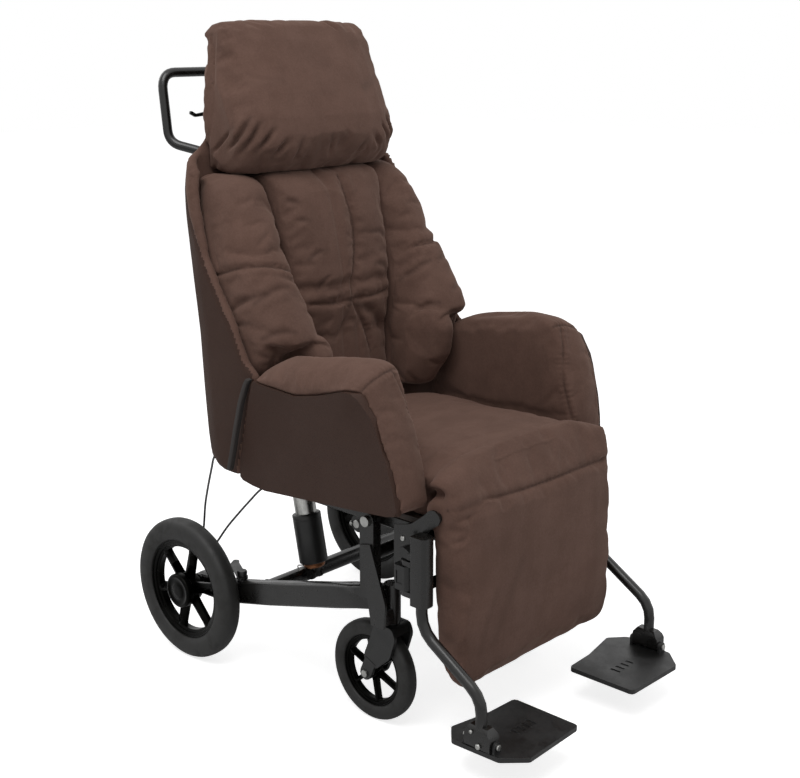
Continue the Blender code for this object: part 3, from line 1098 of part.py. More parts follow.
def spaced(count):
    """Stations from -1 to 1, closer together towards the ends."""
    return [math.sin(math.pi / 2 * (2 * k / (count - 1) - 1)) for k in range(count)]


def seat_cushion(seat, looks):
    """The seat cushion: crowned, T-shaped, with an arched underside over the leg-rest hinge."""
    clear = 0.0520
    floor = FRAME_TOP + GAP + BOARD_THICKNESS + GAP
    arch = [(LEG_Y + clear * math.cos(math.radians(a)), LEG_Z + clear * math.sin(math.radians(a))) for a in range(-22, 113, 22)]
    front = -0.6775
    outline = ([(-0.215, floor), (-0.400, floor), (-0.590, floor)] + arch
               + [(front, 0.5180), (front + 0.001, 0.5290), (front + 0.009, 0.5390), (front + 0.025, 0.5450), (-0.600, 0.5480),
                  (-0.540, 0.5490), (-0.470, 0.5480), (-0.400, 0.5460), (-0.330, 0.5430), (-0.270, 0.5390), (-0.232, 0.5320),
                  (-0.216, 0.5150), (-0.215, 0.4800)])

    def shape(s, y, z):
        edge = abs(s) ** 3
        top = max(0.0, z - 0.480) / 0.065
        deep = 0.004 * dip(y, -0.628, 0.006) if z > 0.53 else 0.0
        rear = max(0.0, (y + 0.300) / 0.085)
        return (s * (0.218 - 0.003 * (1 - min(1, top))), y - 0.030 * edge * rear, z - (0.024 * edge + deep) * min(1, top))

    def roll(s, y, z):
        edge = abs(s) ** 5
        top = max(0.0, z - 0.510) / 0.035
        return (s * 0.240, y, z - 0.020 * edge * min(1, top))

    main = padded(spaced(11), outline, shape)
    nose = [p for p in arch[3:]] + [(front, 0.5180), (front + 0.001, 0.5290), (front + 0.009, 0.5385), (front + 0.025, 0.5440),
                                    (-0.634, 0.5450), (-0.629, 0.5400)]
    low = [p for p in nose if p[0] < -0.6285]
    made = union(main, padded(spaced(9), low, roll))
    place("seat_cushion", made, seat, looks["fabric"], 60)


def calf_pad(swing, looks):
    """The calf pad: a round nose about its hinge, a crowned face and a rounded foot."""
    nose = [(LEG_Y + LEG_NOSE * math.cos(math.radians(a)), LEG_Z + LEG_NOSE * math.sin(math.radians(a))) for a in range(-28, 100, 21)]
    back = CALF_BACK_Y - GAP
    outline = nose + [(-0.678, 0.4880), (-0.694, 0.4740), (-0.7020, 0.4550), (-0.7060, 0.4200), (-0.7090, 0.3700), (-0.7110, 0.3100),
                      (-0.7110, 0.2500), (-0.7080, 0.2000), (-0.7050, 0.1600), (-0.7030, 0.1380), (-0.6960, 0.1240), (-0.6860, 0.1200),
                      (-0.6750, 0.1260), (-0.6660, 0.1420), (-0.6520, 0.1700), (back, 0.2000), (back, 0.3000), (back, 0.4380)]

    def shape(s, y, z):
        front = min(1.0, max(0.0, (-0.664 - y) / 0.030))
        return (s * CALF_HALF, y + 0.013 * abs(s) ** 5 * front, z)

    side = CALF_HALF - 0.0005
    corner = 0.055
    front_view = fillet([(-side, 0.119), (side, 0.119), (side, 0.520), (-side, 0.520)], [corner, corner, 0, 0], 3)
    made = common(padded(spaced(9), outline, shape), prism(front_view, "y", -0.750, -0.600))
    place("calf_pad", made, swing, looks["fabric"], 60)


def arm(side, sign, seat, looks):
    """An arm: the padded block and the flat panel on its outer side, which meet along the seam."""
    lean = (ARM_OUTER_HIGH - ARM_OUTER_LOW) / (ARM_HIGH_Z - ARM_LOW_Z)
    g = STRIPE_GAP / 2
    rear = [(STRIPE[0][1] - g - 0.004, STRIPE[0][0] + 0.002), (STRIPE[0][1] - g - 0.012, 0.4900), (STRIPE[1][1] - g, STRIPE[1][0]),
            (-0.2550, 0.6100)]
    bottom = [(-0.212, 0.4420), (-0.240, 0.4370), (-0.275, 0.4345), (-0.400, 0.4455), (-0.520, 0.4565), (-0.600, 0.4640)]
    front = [(-0.618, 0.4690), (-0.6250, 0.4800), (-0.6200, 0.5200), (-0.6110, 0.5600), (-0.5980, 0.6050), (-0.5820, 0.6450)]
    top = [(-0.5680, 0.6800), (-0.5560, 0.7080), (-0.5420, 0.7210), (-0.5200, 0.7255), (-0.4700, 0.7240), (-0.4200, 0.7180),
           (-0.3650, 0.7080), (-0.3150, 0.6960), (-0.2830, 0.6810), (-0.2720, 0.6600)]
    outline = rear[::-1][:-1] + [rear[0]] + bottom + front + top
    crown_start = 0.6400

    def shape(s, y, z):
        out = ARM_OUTER_LOW + (z - ARM_LOW_Z) * lean
        x = ARM_INNER_X + s * (out - ARM_INNER_X)
        rise = max(0.0, z - crown_start)
        share = min(1.0, rise / 0.080)
        fall = 0.042 * max(0.0, s) ** 2.6 + 0.007 * max(0.0, 1 - s * 5) ** 2
        pull = 0.006 * (max(0.0, 1 - s * 8) ** 2 + max(0.0, s * 8 - 7) ** 2) * (1 if y < -0.54 else 0)
        return (x, y + pull, z - fall * share)

    stations = [0, 0.05, 0.15, 0.40, 0.62, 0.80, 0.93, 1.0]
    whole = padded(stations, outline, shape)
    seam = [(-0.150, 0.400), (-0.150, 0.6600), (-0.280, 0.6550), (-0.302, 0.6520), (-0.390, 0.6480), (-0.450, 0.6600), (-0.517, 0.6800),
            (-0.553, 0.6810), (-0.579, 0.6410), (-0.595, 0.5910), (-0.609, 0.5500), (-0.620, 0.4940), (-0.622, 0.4000)]
    seam = fillet(seam, [0, 0, 0, 0.02, 0.05, 0.05, 0.02, 0.008, 0.02, 0, 0.02, 0, 0], 2)

    def slab(grow):
        """The space of the outer panel, leaning with it."""
        middle = Vector((-0.40, 0.55))
        drawn = [tuple(Vector(p) + (middle - Vector(p)).normalized() * grow) for p in seam]
        made = prism(drawn, "x", ARM_OUTER_LOW - ARM_PANEL + grow, ARM_OUTER_LOW + 0.06)
        bm = bmesh.new()
        bm.from_mesh(made.data)
        for v in bm.verts:
            v.co.x += (v.co.z - ARM_LOW_Z) * lean
        bm.to_mesh(made.data)
        bm.free()
        return made

    panel = common(copy_of(whole), slab(GAP))
    pocket = box(ARM_INNER_X - 0.01, HINGE_PLATE_X + 2 * HINGE_PLATE + 0.0095, RECLINE_Y - 0.025, RECLINE_Y + 0.05, 0.400, 0.482)
    pad = cut(whole, slab(0), pocket)
    place(f"arm_pad_{side}", mirrored(pad, sign), seat, looks["fabric"], 50)
    place(f"arm_panel_{side}", mirrored(panel, sign), seat, looks["vinyl"], 40)


CENTRE_HALF = [(0.550, 0.120), (1.012, 0.150)]
CENTRE_FRONT = [(0.560, -0.212), (0.600, -0.214), (0.687, -0.206), (0.778, -0.216), (0.892, -0.194), (1.002, -0.166)]


def rear_of_pads(z):
    """The face of the shell that the back's cushions lie against."""
    return read_line(SHELL_REAR, z) - SHELL_WALL - 2 * GAP


def centre_cushion(back, looks):
    """The back's centre cushion, with two upright channels and a cross seam at the waist."""
    front = [(read_line(CENTRE_FRONT, z) + roll, z) for z, roll in
             ((0.556, 0.020), (0.562, 0.006), (0.600, 0), (0.687, 0), (0.740, 0), (0.770, 0), (0.786, 0.004),
              (0.802, 0), (0.850, 0), (0.920, 0), (0.985, 0.002), (1.003, 0.012), (1.007, 0.030))]
    back_line = [(rear_of_pads(z), z) for z in (1.007, 0.984, 0.937, 0.832, 0.717, 0.617, 0.557)]
    outline = front + back_line

    def shape(s, y, z):
        half = read_line(CENTRE_HALF, z)
        x = s * half
        deep = 1.0 if y < rear_of_pads(z) - 0.02 else 0.0
        fall = 0.020 * abs(s) ** 4
        channels = 0.007 * (dip(x, 0.020, 0.009) + dip(x, -0.020, 0.009)) + 0.006 * dip(z, 0.786, 0.010)
        return (x, y + (fall + channels) * deep, z)

    stations = [-1, -0.93, -0.8, -0.6, -0.4, -0.25, -0.17, -0.08, 0, 0.08, 0.17, 0.25, 0.4, 0.6, 0.8, 0.93, 1]
    place("back_centre_cushion", padded(stations, outline, shape), back, looks["fabric"], 60)


def bolster(side, sign, back, looks):
    """A side bolster of the back: full at the shoulder, with a cross seam, narrow between the arms."""
    ridge = [(0.560, -0.300), (0.620, -0.322), (0.680, -0.330), (0.740, -0.300), (0.870, -0.215), (1.000, -0.145), (1.035, -0.110)]
    inner_front = [(0.560, -0.270), (0.645, -0.262), (0.745, -0.223), (0.878, -0.188), (1.010, -0.150), (1.035, -0.100)]
    levels = [0.556, 0.562, 0.620, 0.680, 0.7145, 0.7150, 0.735, 0.800, 0.832, 0.862, 0.872, 0.882, 0.920,
              0.984, 1.002, 1.006]
    rings = []
    for z in levels:
        x_in = read_line(CENTRE_HALF, z) + SOFT_GAP
        wing = read_line(SHELL_WIDTH, z) - SHELL_WALL - 2 * GAP - 0.014 * min(1.0, max(0.0, (z - 0.930) / 0.030))
        x_out = wing if z >= 0.7150 else ARM_INNER_X - SOFT_GAP
        rear = rear_of_pads(z)
        corner = (read_line(SHELL_CORNER, z) - SHELL_WALL + 0.010) if z >= 0.7150 else 0.012
        pinch = 0.010 * dip(z, 0.872, 0.008) + 0.030 * max(0.0, (0.580 - z) / 0.024) ** 2 + 0.030 * max(0.0, (z - 0.990) / 0.016) ** 2
        y_ridge = read_line(ridge, z) + pinch
        y_in = read_line(inner_front, z) + pinch
        wide = x_out - x_in
        corners = [(x_in, rear), (x_out, rear), (x_out, y_ridge + 0.055), (x_out - 0.28 * wide, y_ridge), (x_in + 0.30 * wide, y_ridge + 0.004),
                   (x_in, y_in + 0.020)]
        rings.append([(x, y, z) for x, y in fillet(corners, [0.006, corner, 0.035, 0.030, 0.030, 0.020], 2)])
    place(f"back_bolster_{side}", mirrored(loft(rings), sign), back, looks["fabric"], 60)


def headrest(back, looks):
    """The head cushion, folded over the top of the shell."""
    low = rear_of_pads(SHELL_TOP_Z)
    behind = [head_level(z) for z in (HEAD_LOW_Z + 0.002, 1.018, 1.062, 1.110, 1.200)]
    rear = [(rear_of_pads(z), z) for z in behind] + [(low, SHELL_TOP_Z + 2 * GAP)]
    over = [(low + 0.012, SHELL_TOP_Z + 2 * GAP), (-0.0080, SHELL_TOP_Z + 0.003), (-0.0060, SHELL_TOP_Z + 0.014),
            (-0.0140, SHELL_TOP_Z + 0.032), (-0.0330, SHELL_TOP_Z + 0.042), (-0.0560, SHELL_TOP_Z + 0.040),
            (-0.0780, SHELL_TOP_Z + 0.026)]
    front = [(-0.0980, 1.2580), (-0.1230, 1.2100), (-0.1450, 1.1600), (-0.1620, 1.1150), (-0.1700, 1.0750),
             (-0.1690, 1.0450), (-0.1600, 1.0240), (-0.1420, 1.0150), (-0.1000, HEAD_LOW_Z)]
    outline = rear + over + [(y, head_level(z)) for y, z in front]
    width = [(1.000, 0.205), (1.100, 0.213), (1.200, 0.210), (1.280, 0.196), (1.310, 0.180)]

    def shape(s, y, z):
        edge = abs(s) ** 3.2
        ahead = max(0.0, min(1.0, (-0.045 - y) / 0.080))
        top = max(0.0, z - SHELL_TOP_Z - 0.008) / 0.035
        return (s * read_line(width, z), y + 0.046 * edge * ahead, z - 0.008 * edge * top)

    place("headrest", padded(spaced(13), outline, shape), back, looks["fabric"], 60)


def smooth_route(points, spacing):
    """Evenly spaced points of a smooth curve through the given ones."""
    nodes = [Vector(p) for p in points]
    nodes = [nodes[0] * 2 - nodes[1]] + nodes + [nodes[-1] * 2 - nodes[-2]]
    fine = []
    for a, b, c, d in zip(nodes, nodes[1:], nodes[2:], nodes[3:]):
        for k in range(24):
            t = k / 24
            fine.append(0.5 * (2 * b + (c - a) * t + (2 * a - 5 * b + 4 * c - d) * t * t + (3 * b - a - 3 * c + d) * t ** 3))
    fine.append(nodes[-2])
    total = sum((q - p).length for p, q in zip(fine, fine[1:]))
    count = max(2, round(total / spacing))
    route = [fine[0]]
    walked = 0.0
    for p, q in zip(fine, fine[1:]):
        step = (q - p).length
        while len(route) < count and walked + step >= total * len(route) / count:
            route.append(p.lerp(q, (total * len(route) / count - walked) / step))
        walked += step
    route.append(fine[-1])
    return route


CABLE_RADIUS = 0.00225
CABLE_ROUTE = [(-0.2850, -0.1101, 0.4674), (-0.2835, -0.1040, 0.4620), (-0.2760, -0.0850, 0.4290), (-0.2660, -0.0600, 0.3850),
               (-0.2530, -0.0320, 0.3350), (-0.2380, -0.0060, 0.2800), (-0.2260, 0.0170, 0.2300), (-0.2170, 0.0270, 0.2020),
               (-0.2090, 0.0200, 0.1990), (-0.2030, -0.0020, 0.2280), (-0.1960, -0.0300, 0.2680), (-0.1860, -0.0560, 0.3020),
               (-0.1760, -0.0840, 0.3360), (-0.1690, -0.1100, 0.3640), (-0.1650, -0.1420, 0.3840), (-0.1640, -0.1660, 0.3985),
               (-0.1640, -0.1708, 0.4120), (-0.1640, -0.1712, 0.4266)]


def release_cable(seat, looks):
    """The recline spring's release cable, which hangs in a loop between the back shell and the seat."""
    curve = bpy.data.curves.new("release_cable", "CURVE")
    curve.dimensions = "3D"
    curve.bevel_depth = CABLE_RADIUS
    curve.bevel_resolution = 2
    curve.use_fill_caps = True
    route = smooth_route(CABLE_ROUTE, 0.011)
    line = curve.splines.new("POLY")
    line.points.add(len(route) - 1)
    pivot = Vector(seat["pivot"])
    for point, here in zip(line.points, route):
        point.co = (*(here - pivot), 1.0)
    curve.materials.append(looks["cable"])
    made = bpy.data.objects.new("release_cable", curve)
    bpy.context.scene.collection.objects.link(made)
    made.parent = seat


def finishes():
    """The materials, by use."""
    return {
        "painted": material("satin_black_paint", (30, 29, 27), 0.42, 0.3),
        "plastic": material("black_plastic", (28, 27, 26), 0.55),
        "tyre": material("grey_black_tyre", (40, 39, 38), 0.85),
        "steel": material("zinc_steel", (168, 168, 166), 0.35, 1.0),
        "copper": material("copper_plated_collar", (120, 82, 58), 0.4, 1.0),
        "wood": material("stained_board", (52, 40, 33), 0.7),
        "fabric": material("brown_microfibre", (90, 70, 62), 0.95),
        "vinyl": material("dark_brown_vinyl", (63, 45, 40), 0.6),
        "cable": material("cable_sheath", (70, 70, 70), 0.5),
    }


def build():
    """Builds the whole chair as a tree of bodies."""
    clear_scene()
    looks = finishes()
    base = joint("chassis", (0, 0, 0))
    seat = joint("seat_tilt", (0, TILT_Y, TILT_Z), base)
    back = joint("back_recline", (0, RECLINE_Y, RECLINE_Z), seat)
    base_frame(base, looks)
    for side, sign in SIDES:
        rear_wheel(side, sign, base, looks)
        caster(side, sign, base, looks)
        brake(side, sign, base, looks)
    tilt_strut(base, looks)
    seat_frame(seat, looks)
    seat_board(seat, looks)
    tilt_bolts(base, looks)
    seat_cushion(seat, looks)
    recline_spring(seat, looks)
    swing = leg_rest(seat, looks)
    calf_pad(swing, looks)
    back_frame(back, looks)
    back_shell(back, looks)
    centre_cushion(back, looks)
    headrest(back, looks)
    push_bar(back, looks)
    for side, sign in SIDES:
        arm(side, sign, seat, looks)
        bolster(side, sign, back, looks)
        release(side, sign, back, looks)
        hanger_joint = hanger(side, sign, seat, looks)
        footplate(side, sign, hanger_joint, looks)
    release_cable(seat, looks)


build()
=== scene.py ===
"""Indoor wheelchair: upholstery, wheels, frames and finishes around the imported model.

The chair faces -Y, its sitter's left is +X, and the floor is z = 0. Sizes are in metres.
"""

from __future__ import annotations

import json
import logging
import math
from dataclasses import dataclass, field
from enum import Enum

import bmesh
import bpy
import numpy as np
from mathutils import Matrix, Vector, noise
from mathutils.bvhtree import BVHTree

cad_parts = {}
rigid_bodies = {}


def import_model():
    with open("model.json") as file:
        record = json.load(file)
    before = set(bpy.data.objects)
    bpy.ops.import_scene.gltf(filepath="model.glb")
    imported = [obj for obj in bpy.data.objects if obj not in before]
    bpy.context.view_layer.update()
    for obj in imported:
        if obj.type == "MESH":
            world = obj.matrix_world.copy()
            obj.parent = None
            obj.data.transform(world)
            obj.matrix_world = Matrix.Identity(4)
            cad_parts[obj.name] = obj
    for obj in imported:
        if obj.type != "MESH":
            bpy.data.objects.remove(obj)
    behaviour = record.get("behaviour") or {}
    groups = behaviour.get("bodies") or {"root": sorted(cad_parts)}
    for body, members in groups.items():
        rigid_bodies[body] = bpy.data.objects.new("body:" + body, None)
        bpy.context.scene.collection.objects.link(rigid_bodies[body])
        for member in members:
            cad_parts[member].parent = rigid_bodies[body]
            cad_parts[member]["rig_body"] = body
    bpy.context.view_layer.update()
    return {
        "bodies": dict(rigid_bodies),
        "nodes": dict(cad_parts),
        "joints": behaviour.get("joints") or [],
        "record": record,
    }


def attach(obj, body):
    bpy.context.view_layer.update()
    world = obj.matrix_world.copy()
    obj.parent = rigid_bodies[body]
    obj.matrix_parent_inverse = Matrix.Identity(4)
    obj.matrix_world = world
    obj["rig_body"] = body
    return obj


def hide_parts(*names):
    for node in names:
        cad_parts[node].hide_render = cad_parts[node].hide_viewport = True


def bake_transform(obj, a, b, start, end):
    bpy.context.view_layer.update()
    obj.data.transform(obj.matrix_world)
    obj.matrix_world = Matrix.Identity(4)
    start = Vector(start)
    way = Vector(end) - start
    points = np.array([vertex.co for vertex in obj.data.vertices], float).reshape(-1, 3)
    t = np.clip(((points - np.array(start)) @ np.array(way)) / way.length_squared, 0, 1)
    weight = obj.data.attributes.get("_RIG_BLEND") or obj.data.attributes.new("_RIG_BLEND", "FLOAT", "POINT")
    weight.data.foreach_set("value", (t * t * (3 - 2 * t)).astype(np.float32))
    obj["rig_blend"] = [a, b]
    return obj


LOG = logging.getLogger("wheelchair")
Point = tuple[float, float, float]
ROOT_Y = 0.358
VIEW_LENS = 59.599
VIEW_EYE = (-1.8715, -1.7178, 1.2752)
VIEW_AZIMUTH = -47.2358
VIEW_ELEVATION = 15.0812
# The point attribute that darkens the microfibre: dark thread along seams and painted shade along folds.
THREAD_AND_FOLD_SHADE = "crease"


class Side(Enum):
    """The sitter's left or right, with the sign of its X."""

    LEFT = ("left", 1.0)
    RIGHT = ("right", -1.0)

    @property
    def word(self) -> str:
        """The side's name, as piece names end with it."""
        return self.value[0]

    @property
    def sign(self) -> float:
        """1 on the sitter's left and -1 on the right."""
        return self.value[1]


class Slot(Enum):
    """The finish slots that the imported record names."""

    PAINTED = "painted"
    MOULDED = "moulded"
    TYRE = "tyre"
    ZINC = "zinc"
    COPPER = "copper"
    BOARD = "board"
    MICROFIBRE = "microfibre"
    VINYL = "vinyl"
    CABLE = "cable"


def linear(red: int, green: int, blue: int) -> tuple[float, float, float, float]:
    """Turns a display colour into the linear one that a shader takes.

    Args:
        red: red, 0 to 255.
        green: green, 0 to 255.
        blue: blue, 0 to 255.

    Returns:
        The colour with an alpha of 1.
    """
    parts = [c / 255 for c in (red, green, blue)]
    lin = [c / 12.92 if c <= 0.04045 else ((c + 0.055) / 1.055) ** 2.4 for c in parts]
    return (lin[0], lin[1], lin[2], 1.0)


class Tree:
    """Adds shader nodes to one node tree and links them."""

    def __init__(self, tree: bpy.types.NodeTree) -> None:
        """Keeps the tree that the nodes go into."""
        self.tree = tree

    def add(self, kind: str, settings: dict | None = None, inputs: dict | None = None) -> bpy.types.Node:
        """Adds one node.

        Args:
            kind: the node's type, without its ShaderNode prefix.
            settings: attributes to set on the node.
            inputs: values or output sockets for its inputs, by name or number.

        Returns:
            The node.
        """
        node = self.tree.nodes.new("ShaderNode" + kind)
        for name, value in (settings or {}).items():
            setattr(node, name, value)
        for name, value in (inputs or {}).items():
            if isinstance(value, bpy.types.NodeSocket):
                self.tree.links.new(value, node.inputs[name])
            else:
                node.inputs[name].default_value = value
        return node

    def math(self, operation: str, first: object, second: object = 0.0, clamp: bool = False) -> bpy.types.NodeSocket:
        """Adds a Math node and returns its output."""
        node = self.add("Math", {"operation": operation, "use_clamp": clamp}, {0: first, 1: second})
        return node.outputs[0]

    def noise(self, vector: object, scale: object, detail: float = 3.0, rough: float = 0.5) -> bpy.types.NodeSocket:
        """Adds a Noise Texture node and returns its value."""
        return self.add("TexNoise", None, {"Vector": vector, "Scale": scale, "Detail": detail, "Roughness": rough}).outputs[0]

    def spread(self, value: object, low: object, high: object, to_low: object = 0.0, to_high: object = 1.0) -> bpy.types.NodeSocket:
        """Maps a value from one range to another, smoothly and clamped, and returns it."""
        node = self.add("MapRange", {"interpolation_type": "SMOOTHSTEP"},
                        {"Value": value, "From Min": low, "From Max": high, "To Min": to_low, "To Max": to_high})
        return node.outputs[0]

    def stretch(self, vector: object, scale: Point, turn: Point = (0.0, 0.0, 0.0)) -> bpy.types.NodeSocket:
        """Scales and turns a pattern's coordinates and returns them."""
        return self.add("Mapping", None, {"Vector": vector, "Scale": scale, "Rotation": turn}).outputs[0]

    def blend(self, amount: object, first: object, second: object, kind: str = "MIX") -> bpy.types.NodeSocket:
        """Mixes two colours and returns the result."""
        node = self.tree.nodes.new("ShaderNodeMix")
        node.data_type = "RGBA"
        node.blend_type = kind
        node.clamp_factor = True
        for socket, value in ((node.inputs[0], amount), (node.inputs[6], first), (node.inputs[7], second)):
            if isinstance(value, bpy.types.NodeSocket):
                self.tree.links.new(value, socket)
            else:
                socket.default_value = value
        return node.outputs[2]


class SurfaceGroups:
    """The shared surface effects, each a node group that is built once."""

    @staticmethod
    def _new(name: str, inputs: dict[str, tuple[str, float]], outputs: list[str]) -> tuple[bpy.types.NodeTree, Tree, dict, bpy.types.Node]:
        """Starts a node group.

        Args:
            name: the group's name.
            inputs: each input's socket kind and default.
            outputs: the names of its outputs, all of them values.

        Returns:
            The group, its tree, its inputs' sockets by name and its output node.
        """
        group = bpy.data.node_groups.new(name, "ShaderNodeTree")
        for label, (kind, value) in inputs.items():
            socket = group.interface.new_socket(label, in_out="INPUT", socket_type="NodeSocket" + kind)
            if kind == "Float":
                socket.default_value = value
        for label in outputs:
            group.interface.new_socket(label, in_out="OUTPUT", socket_type="NodeSocketFloat")
        tree = Tree(group)
        source = tree.tree.nodes.new("NodeGroupInput")
        sink = tree.tree.nodes.new("NodeGroupOutput")
        return group, tree, {s.name: s for s in source.outputs}, sink

    @classmethod
    def clouds(cls) -> bpy.types.NodeTree:
        """Soft blotches, as on worn or brushed surfaces."""
        found = bpy.data.node_groups.get("soft_clouds")
        if found:
            return found
        group, t, s, sink = cls._new("soft_clouds", {"Vector": ("Vector", 0), "Scale": ("Float", 6.0), "Low": ("Float", 0.3),
                                                     "High": ("Float", 0.7)}, ["Value"])
        t.tree.links.new(t.spread(t.noise(s["Vector"], s["Scale"], 4.0, 0.55), s["Low"], s["High"]), sink.inputs[0])
        return group

    @classmethod
    def nap(cls) -> bpy.types.NodeTree:
        """The short brushed pile of microfibre: stroke marks, tufts and fibres."""
        found = bpy.data.node_groups.get("brushed_nap")
        if found:
            return found
        group, t, s, sink = cls._new("brushed_nap", {"Vector": ("Vector", 0), "Fibre": ("Float", 900.0)}, ["Tone", "Height"])
        strokes = t.noise(t.stretch(s["Vector"], (17, 17, 8), (0.7, 0.5, 0.5)), 1.0, 5.0, 0.65)
        across = t.noise(t.stretch(s["Vector"], (9, 21, 21), (0.4, 0.9, 0.6)), 1.0, 4.0, 0.6)
        fibre = t.noise(s["Vector"], s["Fibre"], 2.0, 0.7)
        tufts = t.noise(s["Vector"], 260.0, 2.0, 0.6)
        tone = t.math("ADD", t.math("MULTIPLY", strokes, 0.55), t.math("MULTIPLY", across, 0.45))
        tone = t.math("ADD", tone, t.math("MULTIPLY", t.math("SUBTRACT", tufts, 0.5), 0.35))
        tone = t.math("ADD", tone, t.math("MULTIPLY", t.math("SUBTRACT", fibre, 0.5), 0.25))
        height = t.math("ADD", t.math("MULTIPLY", fibre, 0.5), t.math("MULTIPLY", tufts, 0.5))
        t.tree.links.new(t.spread(tone, 0.3, 0.7), sink.inputs[0])
        t.tree.links.new(height, sink.inputs[1])
        return group

    @classmethod
    def grain(cls) -> bpy.types.NodeTree:
        """Leather-like pebbling."""
        found = bpy.data.node_groups.get("leather_grain")
        if found:
            return found
        group, t, s, sink = cls._new("leather_grain", {"Vector": ("Vector", 0), "Scale": ("Float", 420.0)}, ["Tone", "Height"])
        bent = t.add("VectorMath", {"operation": "ADD"}, {0: s["Vector"]})
        warp = t.add("TexNoise", None, {"Vector": s["Vector"], "Scale": 90.0, "Detail": 2.0})
        small = t.add("VectorMath", {"operation": "SCALE"}, {0: warp.outputs[1], "Scale": 0.004})
        t.tree.links.new(small.outputs[0], bent.inputs[1])
        cells = t.add("TexVoronoi", {"feature": "DISTANCE_TO_EDGE"}, {"Vector": bent.outputs[0], "Scale": s["Scale"]})
        pebble = t.spread(cells.outputs[0], 0.0, 0.28)
        pores = t.noise(s["Vector"], 1500.0, 2.0, 0.6)
        t.tree.links.new(pebble, sink.inputs[0])
        t.tree.links.new(t.math("ADD", pebble, t.math("MULTIPLY", pores, 0.25)), sink.inputs[1])
        return group

    @classmethod
    def speckle(cls) -> bpy.types.NodeTree:
        """Fine moulding or powder-coat texture, with a few scuffs."""
        found = bpy.data.node_groups.get("fine_speckle")
        if found:
            return found
        group, t, s, sink = cls._new("fine_speckle", {"Vector": ("Vector", 0), "Scale": ("Float", 1400.0)}, ["Tone", "Height", "Scuff"])
        fine = t.noise(s["Vector"], s["Scale"], 2.0, 0.6)
        broad = t.noise(s["Vector"], 24.0, 4.0, 0.6)
        lines = t.noise(t.stretch(s["Vector"], (14, 160, 160), (0.4, 0.9, 0.2)), 1.0, 5.0, 0.75)
        patch = t.spread(t.noise(s["Vector"], 17.0, 2.0, 0.5), 0.52, 0.7)
        t.tree.links.new(t.spread(broad, 0.3, 0.7), sink.inputs[0])
        t.tree.links.new(fine, sink.inputs[1])
        t.tree.links.new(t.math("MULTIPLY", t.spread(lines, 0.6, 0.72), patch), sink.inputs[2])
        return group

    @classmethod
    def dust(cls) -> bpy.types.NodeTree:
        """Dust that settles on faces that look up."""
        found = bpy.data.node_groups.get("settled_dust")
        if found:
            return found
        group, t, s, sink = cls._new("settled_dust", {"Vector": ("Vector", 0), "Amount": ("Float", 0.3)}, ["Mask"])
        facing = t.add("SeparateXYZ", None, {0: t.add("NewGeometry").outputs["Normal"]}).outputs[2]
        up = t.spread(facing, 0.35, 1.0)
        patches = t.spread(t.noise(s["Vector"], 30.0, 4.0, 0.65), 0.35, 0.75)
        t.tree.links.new(t.math("MULTIPLY", t.math("MULTIPLY", up, patches), s["Amount"]), sink.inputs[0])
        return group


@dataclass(frozen=True)
class Finish:
    """A surface: its name, its main colour as displayed, and how it reflects."""

    name: str
    colour: tuple[int, int, int]
    roughness: float
    metallic: float = 0.0

    def start(self) -> tuple[bpy.types.Material, Tree, bpy.types.Node, bpy.types.NodeSocket]:
        """Makes the material with a Principled BSDF.

        Returns:
            The material, its tree, the Principled node and the object coordinates.
        """
        material = bpy.data.materials.new(self.name)
        material.use_nodes = True
        tree = Tree(material.node_tree)
        shader = next(n for n in material.node_tree.nodes if n.type == "BSDF_PRINCIPLED")
        shader.inputs["Base Color"].default_value = linear(*self.colour)
        shader.inputs["Roughness"].default_value = self.roughness
        shader.inputs["Metallic"].default_value = self.metallic
        place = tree.add("TexCoord").outputs["Object"]
        return material, tree, shader, place

    @staticmethod
    def group(tree: Tree, which: bpy.types.NodeTree, inputs: dict) -> bpy.types.Node:
        """Places a shared node group in a material and returns its node."""
        node = tree.tree.nodes.new("ShaderNodeGroup")
        node.node_tree = which
        for name, value in inputs.items():
            if isinstance(value, bpy.types.NodeSocket):
                tree.tree.links.new(value, node.inputs[name])
            else:
                node.inputs[name].default_value = value
        return node

    @staticmethod
    def bump(tree: Tree, shader: bpy.types.Node, height: object, strength: float, distance: float) -> None:
        """Feeds a height to the shader's normal through a Bump node."""
        node = tree.add("Bump", None, {"Strength": strength, "Distance": distance, "Height": height})
        tree.tree.links.new(node.outputs[0], shader.inputs["Normal"])

    def shade(self, factor: float) -> tuple[float, float, float, float]:
        """The main colour made lighter or darker."""
        r, g, b, a = linear(*self.colour)
        return (min(1.0, r * factor), min(1.0, g * factor), min(1.0, b * factor), a)


